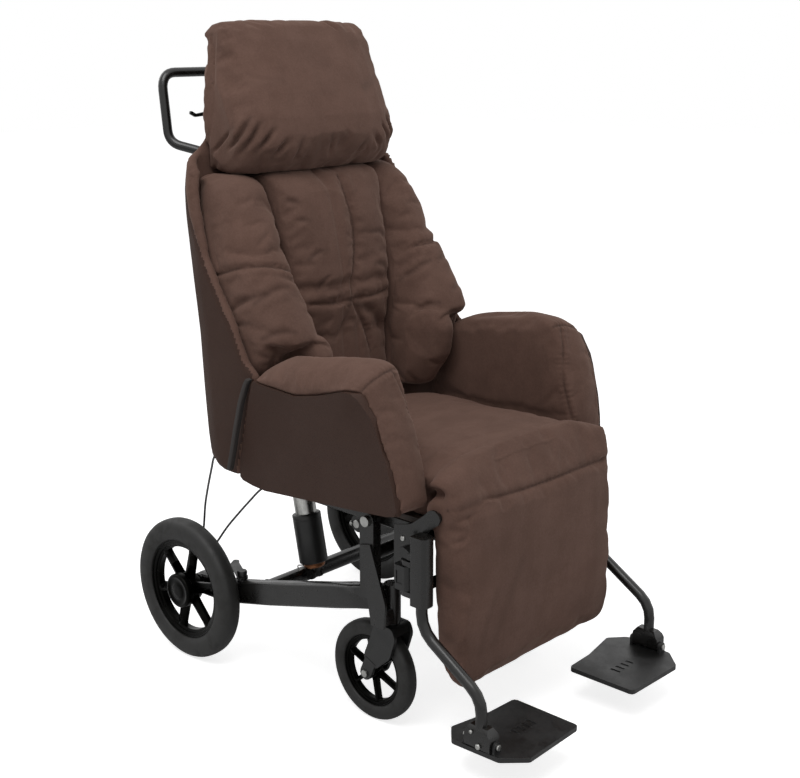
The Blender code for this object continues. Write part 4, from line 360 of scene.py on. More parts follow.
@dataclass(frozen=True)
class Microfibre(Finish):
    """Brushed brown suede-like microfibre, with hand marks and a light sheen, darkened as dark thread along its seams
    and as painted shade along its folds.
    """

    name: str = "brown_microfibre"
    colour: tuple[int, int, int] = (92, 69, 60)
    roughness: float = 0.92

    def build(self) -> bpy.types.Material:
        """Makes the material."""
        material, tree, shader, place = self.start()
        nap = self.group(tree, SurfaceGroups.nap(), {"Vector": place, "Fibre": 950.0})
        clouds = self.group(tree, SurfaceGroups.clouds(), {"Vector": place, "Scale": 7.0, "Low": 0.32, "High": 0.68})
        base = tree.blend(clouds.outputs[0], self.shade(0.88), self.shade(1.12))
        tone = tree.blend(nap.outputs["Tone"], self.shade(0.80), self.shade(1.24))
        # The crease attribute darkens the cloth: dark thread along the seams, painted shade along the folds.
        crease = tree.add("Attribute", {"attribute_name": THREAD_AND_FOLD_SHADE}).outputs["Fac"]
        thread_and_shade = tree.blend(tree.math("MULTIPLY", crease, 0.75), tree.blend(0.5, base, tone), self.shade(0.22))
        tree.tree.links.new(thread_and_shade, shader.inputs["Base Color"])
        shader.inputs["Sheen Weight"].default_value = 0.22
        shader.inputs["Sheen Roughness"].default_value = 0.45
        shader.inputs["Sheen Tint"].default_value = linear(206, 176, 160)
        shader.inputs["Specular IOR Level"].default_value = 0.25
        tree.tree.links.new(tree.spread(nap.outputs["Tone"], 0.0, 1.0, 0.98, 0.84), shader.inputs["Roughness"])
        self.bump(tree, shader, nap.outputs["Height"], 0.28, 0.0008)
        return material


@dataclass(frozen=True)
class Leatherette(Finish):
    """Dark brown coated fabric with a fine pebbled grain."""

    name: str = "dark_brown_leatherette"
    colour: tuple[int, int, int] = (63, 42, 33)
    roughness: float = 0.60

    def build(self) -> bpy.types.Material:
        """Makes the material."""
        material, tree, shader, place = self.start()
        grain = self.group(tree, SurfaceGroups.grain(), {"Vector": place, "Scale": 620.0})
        clouds = self.group(tree, SurfaceGroups.clouds(), {"Vector": place, "Scale": 5.0, "Low": 0.3, "High": 0.7})
        base = tree.blend(clouds.outputs[0], self.shade(0.90), self.shade(1.10))
        tree.tree.links.new(tree.blend(grain.outputs["Tone"], self.shade(0.62), base), shader.inputs["Base Color"])
        tree.tree.links.new(tree.spread(clouds.outputs[0], 0.0, 1.0, 0.66, 0.56), shader.inputs["Roughness"])
        shader.inputs["Specular IOR Level"].default_value = 0.22
        self.bump(tree, shader, grain.outputs["Height"], 0.22, 0.0006)
        return material


@dataclass(frozen=True)
class SatinPaint(Finish):
    """Black powder coat on steel: fine orange peel, light scuffs and a little dust."""

    name: str = "satin_black_powder_coat"
    colour: tuple[int, int, int] = (15, 14, 13)
    roughness: float = 0.27

    def build(self) -> bpy.types.Material:
        """Makes the material."""
        material, tree, shader, place = self.start()
        speckle = self.group(tree, SurfaceGroups.speckle(), {"Vector": place, "Scale": 900.0})
        dust = self.group(tree, SurfaceGroups.dust(), {"Vector": place, "Amount": 0.10})
        base = tree.blend(speckle.outputs["Tone"], self.shade(0.85), self.shade(1.2))
        base = tree.blend(tree.math("MULTIPLY", speckle.outputs["Scuff"], 0.35), base, linear(70, 68, 65))
        tree.tree.links.new(tree.blend(dust.outputs[0], base, linear(80, 75, 69)), shader.inputs["Base Color"])
        rough = tree.math("ADD", tree.spread(speckle.outputs["Tone"], 0.0, 1.0, 0.23, 0.33),
                          tree.math("MULTIPLY", speckle.outputs["Scuff"], 0.2))
        tree.tree.links.new(rough, shader.inputs["Roughness"])
        self.bump(tree, shader, speckle.outputs["Height"], 0.10, 0.0004)
        return material


@dataclass(frozen=True)
class MouldedPlastic(Finish):
    """Black moulded nylon with a fine spark-eroded texture."""

    name: str = "black_moulded_nylon"
    colour: tuple[int, int, int] = (8, 8, 8)
    roughness: float = 0.42
    speckle_scale: float = 1300.0

    def build(self) -> bpy.types.Material:
        """Makes the material."""
        material, tree, shader, place = self.start()
        speckle = self.group(tree, SurfaceGroups.speckle(), {"Vector": place, "Scale": self.speckle_scale})
        dust = self.group(tree, SurfaceGroups.dust(), {"Vector": place, "Amount": 0.05})
        base = tree.blend(speckle.outputs["Tone"], self.shade(0.8), self.shade(1.25))
        base = tree.blend(tree.math("MULTIPLY", speckle.outputs["Scuff"], 0.4), base, linear(74, 73, 71))
        tree.tree.links.new(tree.blend(dust.outputs[0], base, linear(72, 68, 63)), shader.inputs["Base Color"])
        tree.tree.links.new(tree.spread(speckle.outputs["Tone"], 0.0, 1.0, self.roughness - 0.05, self.roughness + 0.08),
                            shader.inputs["Roughness"])
        self.bump(tree, shader, speckle.outputs["Height"], 0.22, 0.0005)
        return material


@dataclass(frozen=True)
class Rubber(Finish):
    """Grey-black polyurethane tyre, greyer in soft patches and scuffs."""

    name: str = "grey_black_tyre"
    colour: tuple[int, int, int] = (13, 12, 10)
    roughness: float = 0.60

    def build(self) -> bpy.types.Material:
        """Makes the material."""
        material, tree, shader, place = self.start()
        speckle = self.group(tree, SurfaceGroups.speckle(), {"Vector": place, "Scale": 700.0})
        clouds = self.group(tree, SurfaceGroups.clouds(), {"Vector": place, "Scale": 32.0, "Low": 0.4, "High": 0.75})
        base = tree.blend(clouds.outputs[0], self.shade(0.85), self.shade(1.35))
        base = tree.blend(tree.math("MULTIPLY", speckle.outputs["Scuff"], 0.5), base, linear(92, 89, 84))
        tree.tree.links.new(base, shader.inputs["Base Color"])
        tree.tree.links.new(tree.spread(clouds.outputs[0], 0.0, 1.0, 0.56, 0.74), shader.inputs["Roughness"])
        self.bump(tree, shader, speckle.outputs["Height"], 0.30, 0.0006)
        return material


@dataclass(frozen=True)
class PlatedSteel(Finish):
    """Zinc-plated or bare drawn steel, with fine lines along its length."""

    name: str = "zinc_plated_steel"
    colour: tuple[int, int, int] = (176, 176, 173)
    roughness: float = 0.30
    metallic: float = 1.0
    lines: Point = (300.0, 300.0, 20.0)

    def build(self) -> bpy.types.Material:
        """Makes the material."""
        material, tree, shader, place = self.start()
        lines = tree.noise(tree.stretch(place, self.lines), 1.0, 4.0, 0.7)
        clouds = self.group(tree, SurfaceGroups.clouds(), {"Vector": place, "Scale": 60.0, "Low": 0.35, "High": 0.7})
        base = tree.blend(clouds.outputs[0], self.shade(0.80), self.shade(1.08))
        tree.tree.links.new(base, shader.inputs["Base Color"])
        tree.tree.links.new(tree.spread(lines, 0.25, 0.75, self.roughness - 0.08, self.roughness + 0.14), shader.inputs["Roughness"])
        self.bump(tree, shader, lines, 0.12, 0.0002)
        return material


@dataclass(frozen=True)
class StainedBoard(Finish):
    """Dark stained plywood, with grain along the chair."""

    name: str = "stained_board"
    colour: tuple[int, int, int] = (54, 42, 35)
    roughness: float = 0.65

    def build(self) -> bpy.types.Material:
        """Makes the material."""
        material, tree, shader, place = self.start()
        grain = tree.noise(tree.stretch(place, (90.0, 4.0, 90.0)), 1.0, 6.0, 0.65)
        base = tree.blend(tree.spread(grain, 0.3, 0.7), self.shade(0.62), self.shade(1.4))
        tree.tree.links.new(base, shader.inputs["Base Color"])
        self.bump(tree, shader, grain, 0.25, 0.0004)
        return material


@dataclass(frozen=True)
class CableSheath(Finish):
    """Grey plastic sheath of a release cable, dulled in places."""

    name: str = "cable_sheath"
    colour: tuple[int, int, int] = (70, 70, 71)
    roughness: float = 0.45

    def build(self) -> bpy.types.Material:
        """Makes the material."""
        material, tree, shader, place = self.start()
        clouds = self.group(tree, SurfaceGroups.clouds(), {"Vector": place, "Scale": 45.0, "Low": 0.3, "High": 0.7})
        tree.tree.links.new(tree.blend(clouds.outputs[0], self.shade(0.75), self.shade(1.2)), shader.inputs["Base Color"])
        tree.tree.links.new(tree.spread(clouds.outputs[0], 0.0, 1.0, 0.40, 0.58), shader.inputs["Roughness"])
        self.bump(tree, shader, tree.noise(place, 1600.0), 0.10, 0.0002)
        return material


@dataclass(frozen=True)
class StitchThread(Finish):
    """Dark twisted sewing thread or piping."""

    name: str = "dark_stitching"
    colour: tuple[int, int, int] = (38, 33, 31)
    roughness: float = 0.8

    def build(self) -> bpy.types.Material:
        """Makes the material."""
        material, tree, shader, place = self.start()
        twist = tree.noise(tree.stretch(place, (900, 900, 900)), 1.0, 2.0, 0.6)
        tree.tree.links.new(tree.blend(twist, self.shade(0.6), self.shade(1.5)), shader.inputs["Base Color"])
        self.bump(tree, shader, twist, 0.4, 0.0003)
        return material


class FinishSet:
    """All the chair's materials, built once."""

    def __init__(self) -> None:
        """Builds every material."""
        self.microfibre = Microfibre().build()
        self.leatherette = Leatherette().build()
        self.paint = SatinPaint().build()
        self.plastic = MouldedPlastic().build()
        self.rim_plastic = MouldedPlastic("black_rim_nylon", (13, 13, 12), 0.30, 1800.0).build()
        self.rubber = Rubber().build()
        self.zinc = PlatedSteel().build()
        self.copper = PlatedSteel("copper_plated_collar", (139, 94, 66), 0.36, 1.0, (60.0, 60.0, 400.0)).build()
        self.board = StainedBoard().build()
        self.cable = CableSheath().build()
        self.thread = StitchThread().build()

    def for_slot(self, slot: str) -> bpy.types.Material:
        """The material that a record's slot is dressed in."""
        return {"painted": self.paint, "moulded": self.plastic, "tyre": self.rubber, "zinc": self.zinc, "copper": self.copper,
                "board": self.board, "microfibre": self.microfibre, "vinyl": self.leatherette, "cable": self.cable}[slot]


class Meshes:
    """Small steps that every mesh goes through."""

    @staticmethod
    def to_object(bm: bmesh.types.BMesh, name: str, material: bpy.types.Material, smooth: float = 35.0) -> bpy.types.Object:
        """Turns a bmesh into a finished object at the origin.

        Args:
            bm: the mesh, which is freed.
            name: the object's name.
            material: its finish.
            smooth: edges that turn more than this many degrees stay sharp.

        Returns:
            The object.
        """
        bm.normal_update()
        limit = math.radians(smooth)
        for face in bm.faces:
            face.smooth = True
        for edge in bm.edges:
            edge.smooth = not (edge.is_manifold and edge.calc_face_angle(0.0) > limit)
        mesh = bpy.data.meshes.new(name)
        bm.to_mesh(mesh)
        bm.free()
        mesh.materials.append(material)
        made = bpy.data.objects.new(name, mesh)
        bpy.context.scene.collection.objects.link(made)
        return made

    @staticmethod
    def node_copy(node: bpy.types.Object) -> bmesh.types.BMesh:
        """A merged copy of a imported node's mesh, with its flat faces joined."""
        bm = bmesh.new()
        bm.from_mesh(node.data)
        bmesh.ops.remove_doubles(bm, verts=bm.verts[:], dist=1.5e-5)
        bmesh.ops.dissolve_degenerate(bm, dist=1e-5, edges=bm.edges[:])
        bmesh.ops.dissolve_limit(bm, angle_limit=math.radians(0.6), verts=bm.verts[:], edges=bm.edges[:])
        return bm

    @staticmethod
    def round_edges(bm: bmesh.types.BMesh, width: float, turn: float = 50.0, segments: int = 2) -> None:
        """Rounds the edges that turn more than an angle.

        Args:
            bm: the mesh.
            width: the rounding's size.
            turn: the least turn, in degrees.
            segments: how many faces go round the edge.
        """
        limit = math.radians(turn)
        sharp = [e for e in bm.edges if e.is_manifold and e.calc_face_angle(0.0) > limit and e.calc_length() > 1.5 * width]
        if sharp:
            bmesh.ops.bevel(bm, geom=sharp, offset=width, offset_type="OFFSET", segments=segments, profile=0.5, affect="EDGES",
                            clamp_overlap=True, material=-1)

    @staticmethod
    def turned(profile: list[tuple[float, float]], centre: Vector, along: Vector, steps: int) -> bmesh.types.BMesh:
        """Spins a profile about a line into a closed ring or a solid.

        Args:
            profile: (distance along the line, radius) points; it is closed where it doesn't start and end on the line.
            centre: a point on the line.
            along: the line's direction.
            steps: how many steps go round.

        Returns:
            The mesh, its faces outwards.
        """
        along = along.normalized()
        side = along.orthogonal().normalized()
        bm = bmesh.new()
        points = [bm.verts.new(centre + along * s + side * r) for s, r in profile]
        edges = [bm.edges.new(pair) for pair in zip(points, points[1:])]
        if profile[0][1] > 1e-9 or profile[-1][1] > 1e-9:
            edges.append(bm.edges.new((points[-1], points[0])))
        bmesh.ops.spin(bm, geom=points + edges, cent=centre, axis=along, angle=2 * math.pi, steps=steps, use_merge=True,
                       use_duplicate=False)
        bmesh.ops.remove_doubles(bm, verts=bm.verts[:], dist=1e-6)
        bmesh.ops.recalc_face_normals(bm, faces=bm.faces[:])
        return bm

    @staticmethod
    def add(into: bmesh.types.BMesh, other: bmesh.types.BMesh) -> None:
        """Adds another mesh's faces to a mesh and frees it."""
        other.normal_update()
        spare = bpy.data.meshes.new("spare")
        other.to_mesh(spare)
        other.free()
        into.from_mesh(spare)
        bpy.data.meshes.remove(spare)

    @staticmethod
    def slab(outline: list[Point], push: Point, rounding: float = 0.0008, turn: float = 40.0, segments: int = 2) -> bmesh.types.BMesh:
        """A flat plate pushed out from an outline, with rounded edges.

        Args:
            outline: the corners of one face, in order.
            push: the way and distance to the other face.
            rounding: how much its edges are rounded.
            turn: edges that turn more than this are rounded, in degrees.
            segments: how many faces go round an edge.
        """
        bm = bmesh.new()
        bm.faces.new([bm.verts.new(p) for p in outline])
        grown = bmesh.ops.extrude_face_region(bm, geom=bm.faces[:])
        bmesh.ops.translate(bm, vec=push, verts=[v for v in grown["geom"] if isinstance(v, bmesh.types.BMVert)])
        bmesh.ops.recalc_face_normals(bm, faces=bm.faces[:])
        if rounding > 0:
            Meshes.round_edges(bm, rounding, turn, segments)
        return bm

    @staticmethod
    def bead(centre: Vector, along: Vector, radius: float, size: float) -> bmesh.types.BMesh:
        """A rippled weld bead round a tube where it meets a face.

        Args:
            centre: the middle of the joint.
            along: the tube's direction.
            radius: the tube's radius.
            size: the bead's size.
        """
        profile = [(-size, radius - size * 0.5), (-size * 0.9, radius + size * 0.3), (0, radius + size * 0.8), (size * 0.9, radius + size * 0.3),
                   (size, radius - size * 0.5)]
        bm = Meshes.turned(profile, centre, along, 72)
        axis = along.normalized()
        for v in bm.verts:
            out = (v.co - centre) - axis * (v.co - centre).dot(axis)
            turn = math.atan2(out.z, out.x + out.y)
            v.co += out.normalized() * size * 0.16 * math.sin(turn * 26)
        return bm

    @staticmethod
    def rod(start: Point, end: Point, radius: float, chamfer: float = 0.0008, steps: int = 20) -> bmesh.types.BMesh:
        """A round bar with chamfered ends."""
        a, b = Vector(start), Vector(end)
        long = (b - a).length
        cut = min(chamfer, radius * 0.4)
        profile = [(0, 0), (0, radius - cut), (cut, radius), (long - cut, radius), (long, radius - cut), (long, 0)]
        return Meshes.turned(profile, a, b - a, steps)

    @staticmethod
    def hex_bolt(base: Point, out: Point, radius: float, height: float) -> bmesh.types.BMesh:
        """A hexagon bolt head with a washer under it and a rounded crown.

        Args:
            base: the middle of the face that it sits on.
            out: the way it points.
            radius: the head's corner radius.
            height: the head's height over its washer.
        """
        at, along = Vector(base), Vector(out).normalized()
        washer = radius * 0.14
        bm = Meshes.turned([(0, 0), (0, radius * 1.35), (washer * 0.7, radius * 1.35), (washer, radius * 1.28), (washer, 0)], at, along, 24)
        head = bmesh.new()
        bmesh.ops.create_circle(head, cap_ends=True, segments=6, radius=radius)
        up = bmesh.ops.extrude_face_region(head, geom=head.faces[:])
        tops = [v for v in up["geom"] if isinstance(v, bmesh.types.BMVert)]
        bmesh.ops.translate(head, vec=(0, 0, height), verts=tops)
        rim = [e for e in head.edges if all(v in tops for v in e.verts)]
        bmesh.ops.recalc_face_normals(head, faces=head.faces[:])
        bmesh.ops.bevel(head, geom=rim, offset=radius * 0.16, offset_type="OFFSET", segments=2, profile=0.5, affect="EDGES",
                        clamp_overlap=True, material=-1)
        turn = Vector((0, 0, 1)).rotation_difference(along).to_matrix().to_4x4()
        bmesh.ops.transform(head, matrix=Matrix.Translation(at + along * washer) @ turn, verts=head.verts[:])
        Meshes.add(bm, head)
        return bm

    @staticmethod
    def tube(points: list[Point], radius: float, corner: float = 0.0, steps: int = 24, flat: float = 1.0) -> bmesh.types.BMesh:
        """A bent round tube with capped ends.

        Args:
            points: the corners of its route.
            radius: its outer radius.
            corner: the radius of its bends, on the centreline.
            steps: how many faces go round.
            flat: the share of its width that it keeps up and down.
        """
        route: list[Vector] = []
        nodes = [Vector(p) for p in points]
        for k, here in enumerate(nodes):
            if k in (0, len(nodes) - 1) or corner <= 0:
                route.append(here)
                continue
            back, ahead = (nodes[k - 1] - here).normalized(), (nodes[k + 1] - here).normalized()
            angle = back.angle(ahead)
            reach = min(corner / math.tan(angle / 2), 0.48 * (nodes[k - 1] - here).length, 0.48 * (nodes[k + 1] - here).length)
            a, b = here + back * reach, here + ahead * reach
            for j in range(9):
                t = j / 8
                route.append(a * (1 - t) ** 2 + here * 2 * t * (1 - t) + b * t ** 2)
        curve = bpy.data.curves.new("tube", "CURVE")
        curve.dimensions = "3D"
        curve.bevel_depth = radius
        curve.bevel_resolution = max(2, steps // 4)
        curve.use_fill_caps = True
        line = curve.splines.new("POLY")
        line.points.add(len(route) - 1)
        for point, here in zip(line.points, route):
            point.co = (*here, 1.0)
        holder = bpy.data.objects.new("tube", curve)
        bpy.context.scene.collection.objects.link(holder)
        graph = bpy.context.evaluated_depsgraph_get()
        mesh = bpy.data.meshes.new_from_object(holder.evaluated_get(graph))
        bm = bmesh.new()
        bm.from_mesh(mesh)
        bmesh.ops.remove_doubles(bm, verts=bm.verts[:], dist=1e-6)
        bmesh.ops.recalc_face_normals(bm, faces=bm.faces[:])
        bpy.data.objects.remove(holder)
        bpy.data.curves.remove(curve)
        bpy.data.meshes.remove(mesh)
        return bm

    @staticmethod
    def mirror_x(bm: bmesh.types.BMesh) -> bmesh.types.BMesh:
        """Mirrors a mesh to the other side of the chair and keeps its faces outwards."""
        bmesh.ops.scale(bm, vec=(-1, 1, 1), verts=bm.verts[:])
        bmesh.ops.reverse_faces(bm, faces=bm.faces[:])
        return bm


@dataclass
class Workshop:
    """What every sub-assembly needs: the frame, the finishes and the list of its pieces."""

    frame: dict
    finishes: FinishSet
    pieces: list[str] = field(default_factory=list)

    def node(self, name: str) -> bpy.types.Object:
        """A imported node's object."""
        return self.frame["nodes"][name]

    def body_of(self, node: str) -> str:
        """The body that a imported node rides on."""
        return self.node(node)["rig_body"]

    def slot_of(self, node: str) -> str:
        """The record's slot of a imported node."""
        return next(s["material_slot"] for s in self.frame["record"]["subparts"] if s["node"] == node)

    def fit(self, piece: bpy.types.Object, body: str, slot: Slot, *nodes: str) -> bpy.types.Object:
        """Puts a piece on its body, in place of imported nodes.

        Args:
            piece: the new piece.
            body: the body that it moves with.
            slot: the record's slot that its finish belongs to.
            nodes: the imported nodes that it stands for.

        Returns:
            The piece.
        """
        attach(piece, body)
        if nodes:
            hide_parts(*nodes)
        self.pieces.append(piece.name)
        LOG.info("%s: %d faces on %s", piece.name, len(piece.data.polygons), body)
        return piece

    def dress_node(self, name: str, material: bpy.types.Material | None = None) -> None:
        """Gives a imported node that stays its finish.

        Args:
            name: the node.
            material: its finish, or None for its slot's own.
        """
        holder = self.node(name)
        look = material or self.finishes.for_slot(self.slot_of(name))
        holder.data.materials.clear()
        holder.data.materials.append(look)
        LOG.info("%s: dressed in %s", name, look.name)

    def refine(self, name: str, width: float = 0.0008, smooth: float = 48.0, turn: float = 48.0, suffix: str = "_finished",
               material: bpy.types.Material | None = None) -> bpy.types.Object:
        """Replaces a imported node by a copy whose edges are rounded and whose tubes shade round.

        Args:
            name: the node.
            width: how much its edges are rounded.
            smooth: edges that turn more than this stay sharp, in degrees.
            turn: edges that turn more than this are rounded, in degrees.
            suffix: what the piece's name ends with.
            material: its finish, or None for its slot's own.

        Returns:
            The piece.
        """
        bm = Meshes.node_copy(self.node(name))
        if width > 0:
            Meshes.round_edges(bm, width, turn)
        slot = self.slot_of(name)
        made = Meshes.to_object(bm, name + suffix, material or self.finishes.for_slot(slot), smooth)
        even = made.modifiers.new("even_shading", "WEIGHTED_NORMAL")
        even.keep_sharp = True
        return self.fit(made, self.body_of(name), Slot(slot), name)


@dataclass(frozen=True)
class Stroke:
    """A seam, a crease or a fold that is pressed into a soft piece along a line.

    Its depth is pressed in within about its width. A crest rises beside it: on both sides, or on one where
    crest_side is 1 or -1. Gathers of a given height and spacing run across it, out to their reach.
    """

    points: tuple[Point, ...]
    depth: float = 0.004
    width: float = 0.004
    crest: float = 0.0
    crest_at: float = 0.010
    crest_side: int = 0
    gather: float = 0.0
    spacing: float = 0.014
    reach: float = 0.018
    fade: float = 0.015
    thick: float = 0.030

    def route(self) -> np.ndarray:
        """The line as a smooth curve, in steps of 2 mm."""
        nodes = [Vector(p) for p in self.points]
        nodes = [nodes[0] * 2 - nodes[1]] + nodes + [nodes[-1] * 2 - nodes[-2]]
        fine: list[Vector] = []
        for a, b, c, d in zip(nodes, nodes[1:], nodes[2:], nodes[3:]):
            count = max(2, int((c - b).length / 0.002))
            for k in range(count):
                t = k / count
                fine.append(0.5 * (2 * b + (c - a) * t + (2 * a - 5 * b + 4 * c - d) * t * t + (3 * b - a - 3 * c + d) * t ** 3))
        fine.append(nodes[-2])
        return np.array([tuple(p) for p in fine], dtype=np.float32)

    def heights(self, places: np.ndarray, normals: np.ndarray, chosen: np.ndarray) -> np.ndarray:
        """How far each chosen point is pushed out along its normal.

        Args:
            places: all the points.
            normals: their normals.
            chosen: the indices of the points near the line.

        Returns:
            The push of each chosen point, in metres.
        """
        line = self.route()
        run = np.concatenate([[0.0], np.cumsum(np.linalg.norm(np.diff(line, axis=0), axis=1))])
        ahead = np.gradient(line, axis=0)
        ahead /= np.linalg.norm(ahead, axis=1, keepdims=True) + 1e-9
        push = np.zeros(len(chosen), dtype=np.float32)
        for start in range(0, len(chosen), 4000):
            part = chosen[start:start + 4000]
            offset = places[part][:, None, :] - line[None]
            lift = np.einsum("nmk,nk->nm", offset, normals[part])
            flat = offset - lift[..., None] * normals[part][:, None, :]
            reach = np.linalg.norm(flat, axis=2)
            best = np.argmin(reach + 0.35 * np.abs(lift), axis=1)
            rows = np.arange(len(part))
            away, off, at = reach[rows, best], np.abs(lift[rows, best]), run[best]
            ends = np.clip(np.minimum(at, run[-1] - at) / max(self.fade, 1e-6), 0, 1)
            keep = (ends * ends * (3 - 2 * ends)) * (off < self.thick)
            height = -self.depth * np.exp(-(away / self.width) ** 2)
            if self.crest:
                side = np.sign(np.einsum("nk,nk->n", np.cross(ahead[best], normals[part]), flat[rows, best]))
                allowed = 1.0 if self.crest_side == 0 else (side == self.crest_side)
                height = height + self.crest * np.exp(-((away - self.crest_at) / (0.7 * self.crest_at)) ** 2) * allowed
            if self.gather:
                wander = np.sin(at * 61.0 + 1.3) * 0.9 + np.sin(at * 173.0) * 0.6
                waves = np.cos(2 * math.pi * at / self.spacing + wander) * (0.65 + 0.35 * np.sin(at * 97.0 + 0.7))
                near = np.exp(-(away / self.reach) ** 2) * (1 - np.exp(-(away / (0.6 * self.width)) ** 2))
                height = height + self.gather * waves * near
            push[start:start + 4000] = height * keep
        return push


@dataclass
class SoftForm:
    """A padded piece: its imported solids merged, puffed out by a cloth simulation, then sewn and creased."""

    name: str
    nodes: tuple[str, ...]
    voxel: float
    material: bpy.types.Material
    seams: tuple[Stroke, ...] = ()
    folds: tuple[Stroke, ...] = ()
    slack: float = 0.02
    pressure: float = 4.0
    shrink: float = 0.0015
    cap: float = 0.010
    proud: float = 0.006
    smoothing: int = 6
    wrinkle: float = 0.0007
    grain: tuple[float, float, float] = (14.0, 14.0, 14.0)
    fill: float = 0.7
    thread: float = 0.0024
    # How dark the painted shade along the folds is, as a share of the full darkening.
    shade: float = 0.45

    def remeshed(self, bm: bmesh.types.BMesh) -> bpy.types.Object:
        """Turns closed shapes that may overlap into one even skin.

        Args:
            bm: the shapes, which are freed.

        Returns:
            The piece, still rough.
        """
        rough = Meshes.to_object(bm, self.name, self.material)
        change = rough.modifiers.new("even_skin", "REMESH")
        change.mode = "VOXEL"
        change.voxel_size = self.voxel
        self.apply(rough)
        return rough

    @staticmethod
    def apply(piece: bpy.types.Object) -> None:
        """Applies all the modifiers of a piece."""
        graph = bpy.context.evaluated_depsgraph_get()
        graph.update()
        mesh = bpy.data.meshes.new_from_object(piece.evaluated_get(graph))
        old = piece.data
        piece.modifiers.clear()
        piece.data = mesh
        mesh.name = old.name + "_skin"
        bpy.data.meshes.remove(old)

    @staticmethod
    def places(piece: bpy.types.Object) -> tuple[np.ndarray, np.ndarray]:
        """A piece's points and their normals."""
        count = len(piece.data.vertices)
        at, out = np.empty(count * 3, dtype=np.float32), np.empty(count * 3, dtype=np.float32)
        piece.data.vertices.foreach_get("co", at)
        piece.data.vertex_normals.foreach_get("vector", out)
        return at.reshape(-1, 3), out.reshape(-1, 3)

    @staticmethod
    def put(piece: bpy.types.Object, at: np.ndarray) -> None:
        """Moves a piece's points."""
        piece.data.vertices.foreach_set("co", at.astype(np.float32).ravel())
        piece.data.update()

    @staticmethod
    def smooth(piece: bpy.types.Object, times: int) -> None:
        """Evens out the steps that the voxels leave."""
        bm = bmesh.new()
        bm.from_mesh(piece.data)
        for _ in range(times):
            bmesh.ops.smooth_vert(bm, verts=bm.verts[:], factor=0.5, use_axis_x=True, use_axis_y=True, use_axis_z=True)
        bm.to_mesh(piece.data)
        bm.free()

    def close(self, piece: bpy.types.Object) -> None:
        """Subdivides the piece once and sets it to shade smoothly."""
        change = piece.modifiers.new("finer", "SUBSURF")
        change.levels = 1
        change.render_levels = 1
        self.apply(piece)
        piece.data.shade_smooth()

    @staticmethod
    def tree_of(nodes: list[bpy.types.Object]) -> BVHTree:
        """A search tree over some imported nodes' faces."""
        points: list[Vector] = []
        faces: list[tuple[int, ...]] = []
        for node in nodes:
            base = len(points)
            points += [v.co.copy() for v in node.data.vertices]
            faces += [tuple(base + i for i in p.vertices) for p in node.data.polygons]
        return BVHTree.FromPolygons(points, faces)

    def held(self, at: np.ndarray, near: BVHTree, own: list[Stroke], gap: float = 0.006) -> np.ndarray:
        """Which points stay put in the simulation: those against a neighbour and those on a seam.

        Args:
            at: the points.
            near: the neighbours' faces.
            own: the seams.
            gap: how near a neighbour a point is held.

        Returns:
            True for each point that is held.
        """
        fixed = np.array([near.find_nearest(Vector(p), gap)[0] is not None for p in at.tolist()])
        for seam in own:
            line = seam.route()[::3]
            low, high = line.min(axis=0) - 0.02, line.max(axis=0) + 0.02
            chosen = np.where(np.all((at > low) & (at < high), axis=1))[0]
            if len(chosen):
                reach = np.linalg.norm(at[chosen][:, None] - line[None], axis=2).min(axis=1)
                fixed[chosen[reach < max(0.6 * self.voxel, 0.004)]] = True
        return fixed

    def puff(self, piece: bpy.types.Object, fixed: np.ndarray) -> None:
        """Blows the cover out a little between its held points, with the cover cut slightly too large.

        Args:
            piece: the piece.
            fixed: which points are held.
        """
        start, _ = self.places(piece)
        group = piece.vertex_groups.new(name="held")
        group.add([int(i) for i in np.where(fixed)[0]], 1.0, "REPLACE")
        change = piece.modifiers.new("puff", "CLOTH")
        cloth = change.settings
        cloth.quality = 4
        cloth.mass = 0.25
        cloth.tension_stiffness = 12
        cloth.compression_stiffness = 12
        cloth.shear_stiffness = 6
        cloth.bending_stiffness = 0.4
        cloth.tension_damping = 12
        cloth.compression_damping = 12
        cloth.use_pressure = True
        cloth.uniform_pressure_force = self.pressure
        cloth.shrink_min = -self.slack
        cloth.vertex_group_mass = "held"
        cloth.effector_weights.gravity = 0.0
        change.collision_settings.use_collision = False
        scene = bpy.context.scene
        change.point_cache.frame_start = 1
        change.point_cache.frame_end = 20
        for frame in range(1, 21):
            scene.frame_set(frame)
        graph = bpy.context.evaluated_depsgraph_get()
        mesh = piece.evaluated_get(graph).to_mesh()
        moved = np.empty(len(start) * 3, dtype=np.float32)
        mesh.vertices.foreach_get("co", moved)
        piece.evaluated_get(graph).to_mesh_clear()
        piece.modifiers.clear()
        piece.vertex_groups.clear()
        scene.frame_set(1)
        step = moved.reshape(-1, 3) - start
        far = np.linalg.norm(step, axis=1, keepdims=True) + 1e-9
        self.put(piece, start + step * np.minimum(1.0, self.cap / far))
        LOG.info("%s: puffed out by up to %.1f mm", self.name, 1000 * float(np.minimum(far, self.cap).max()))

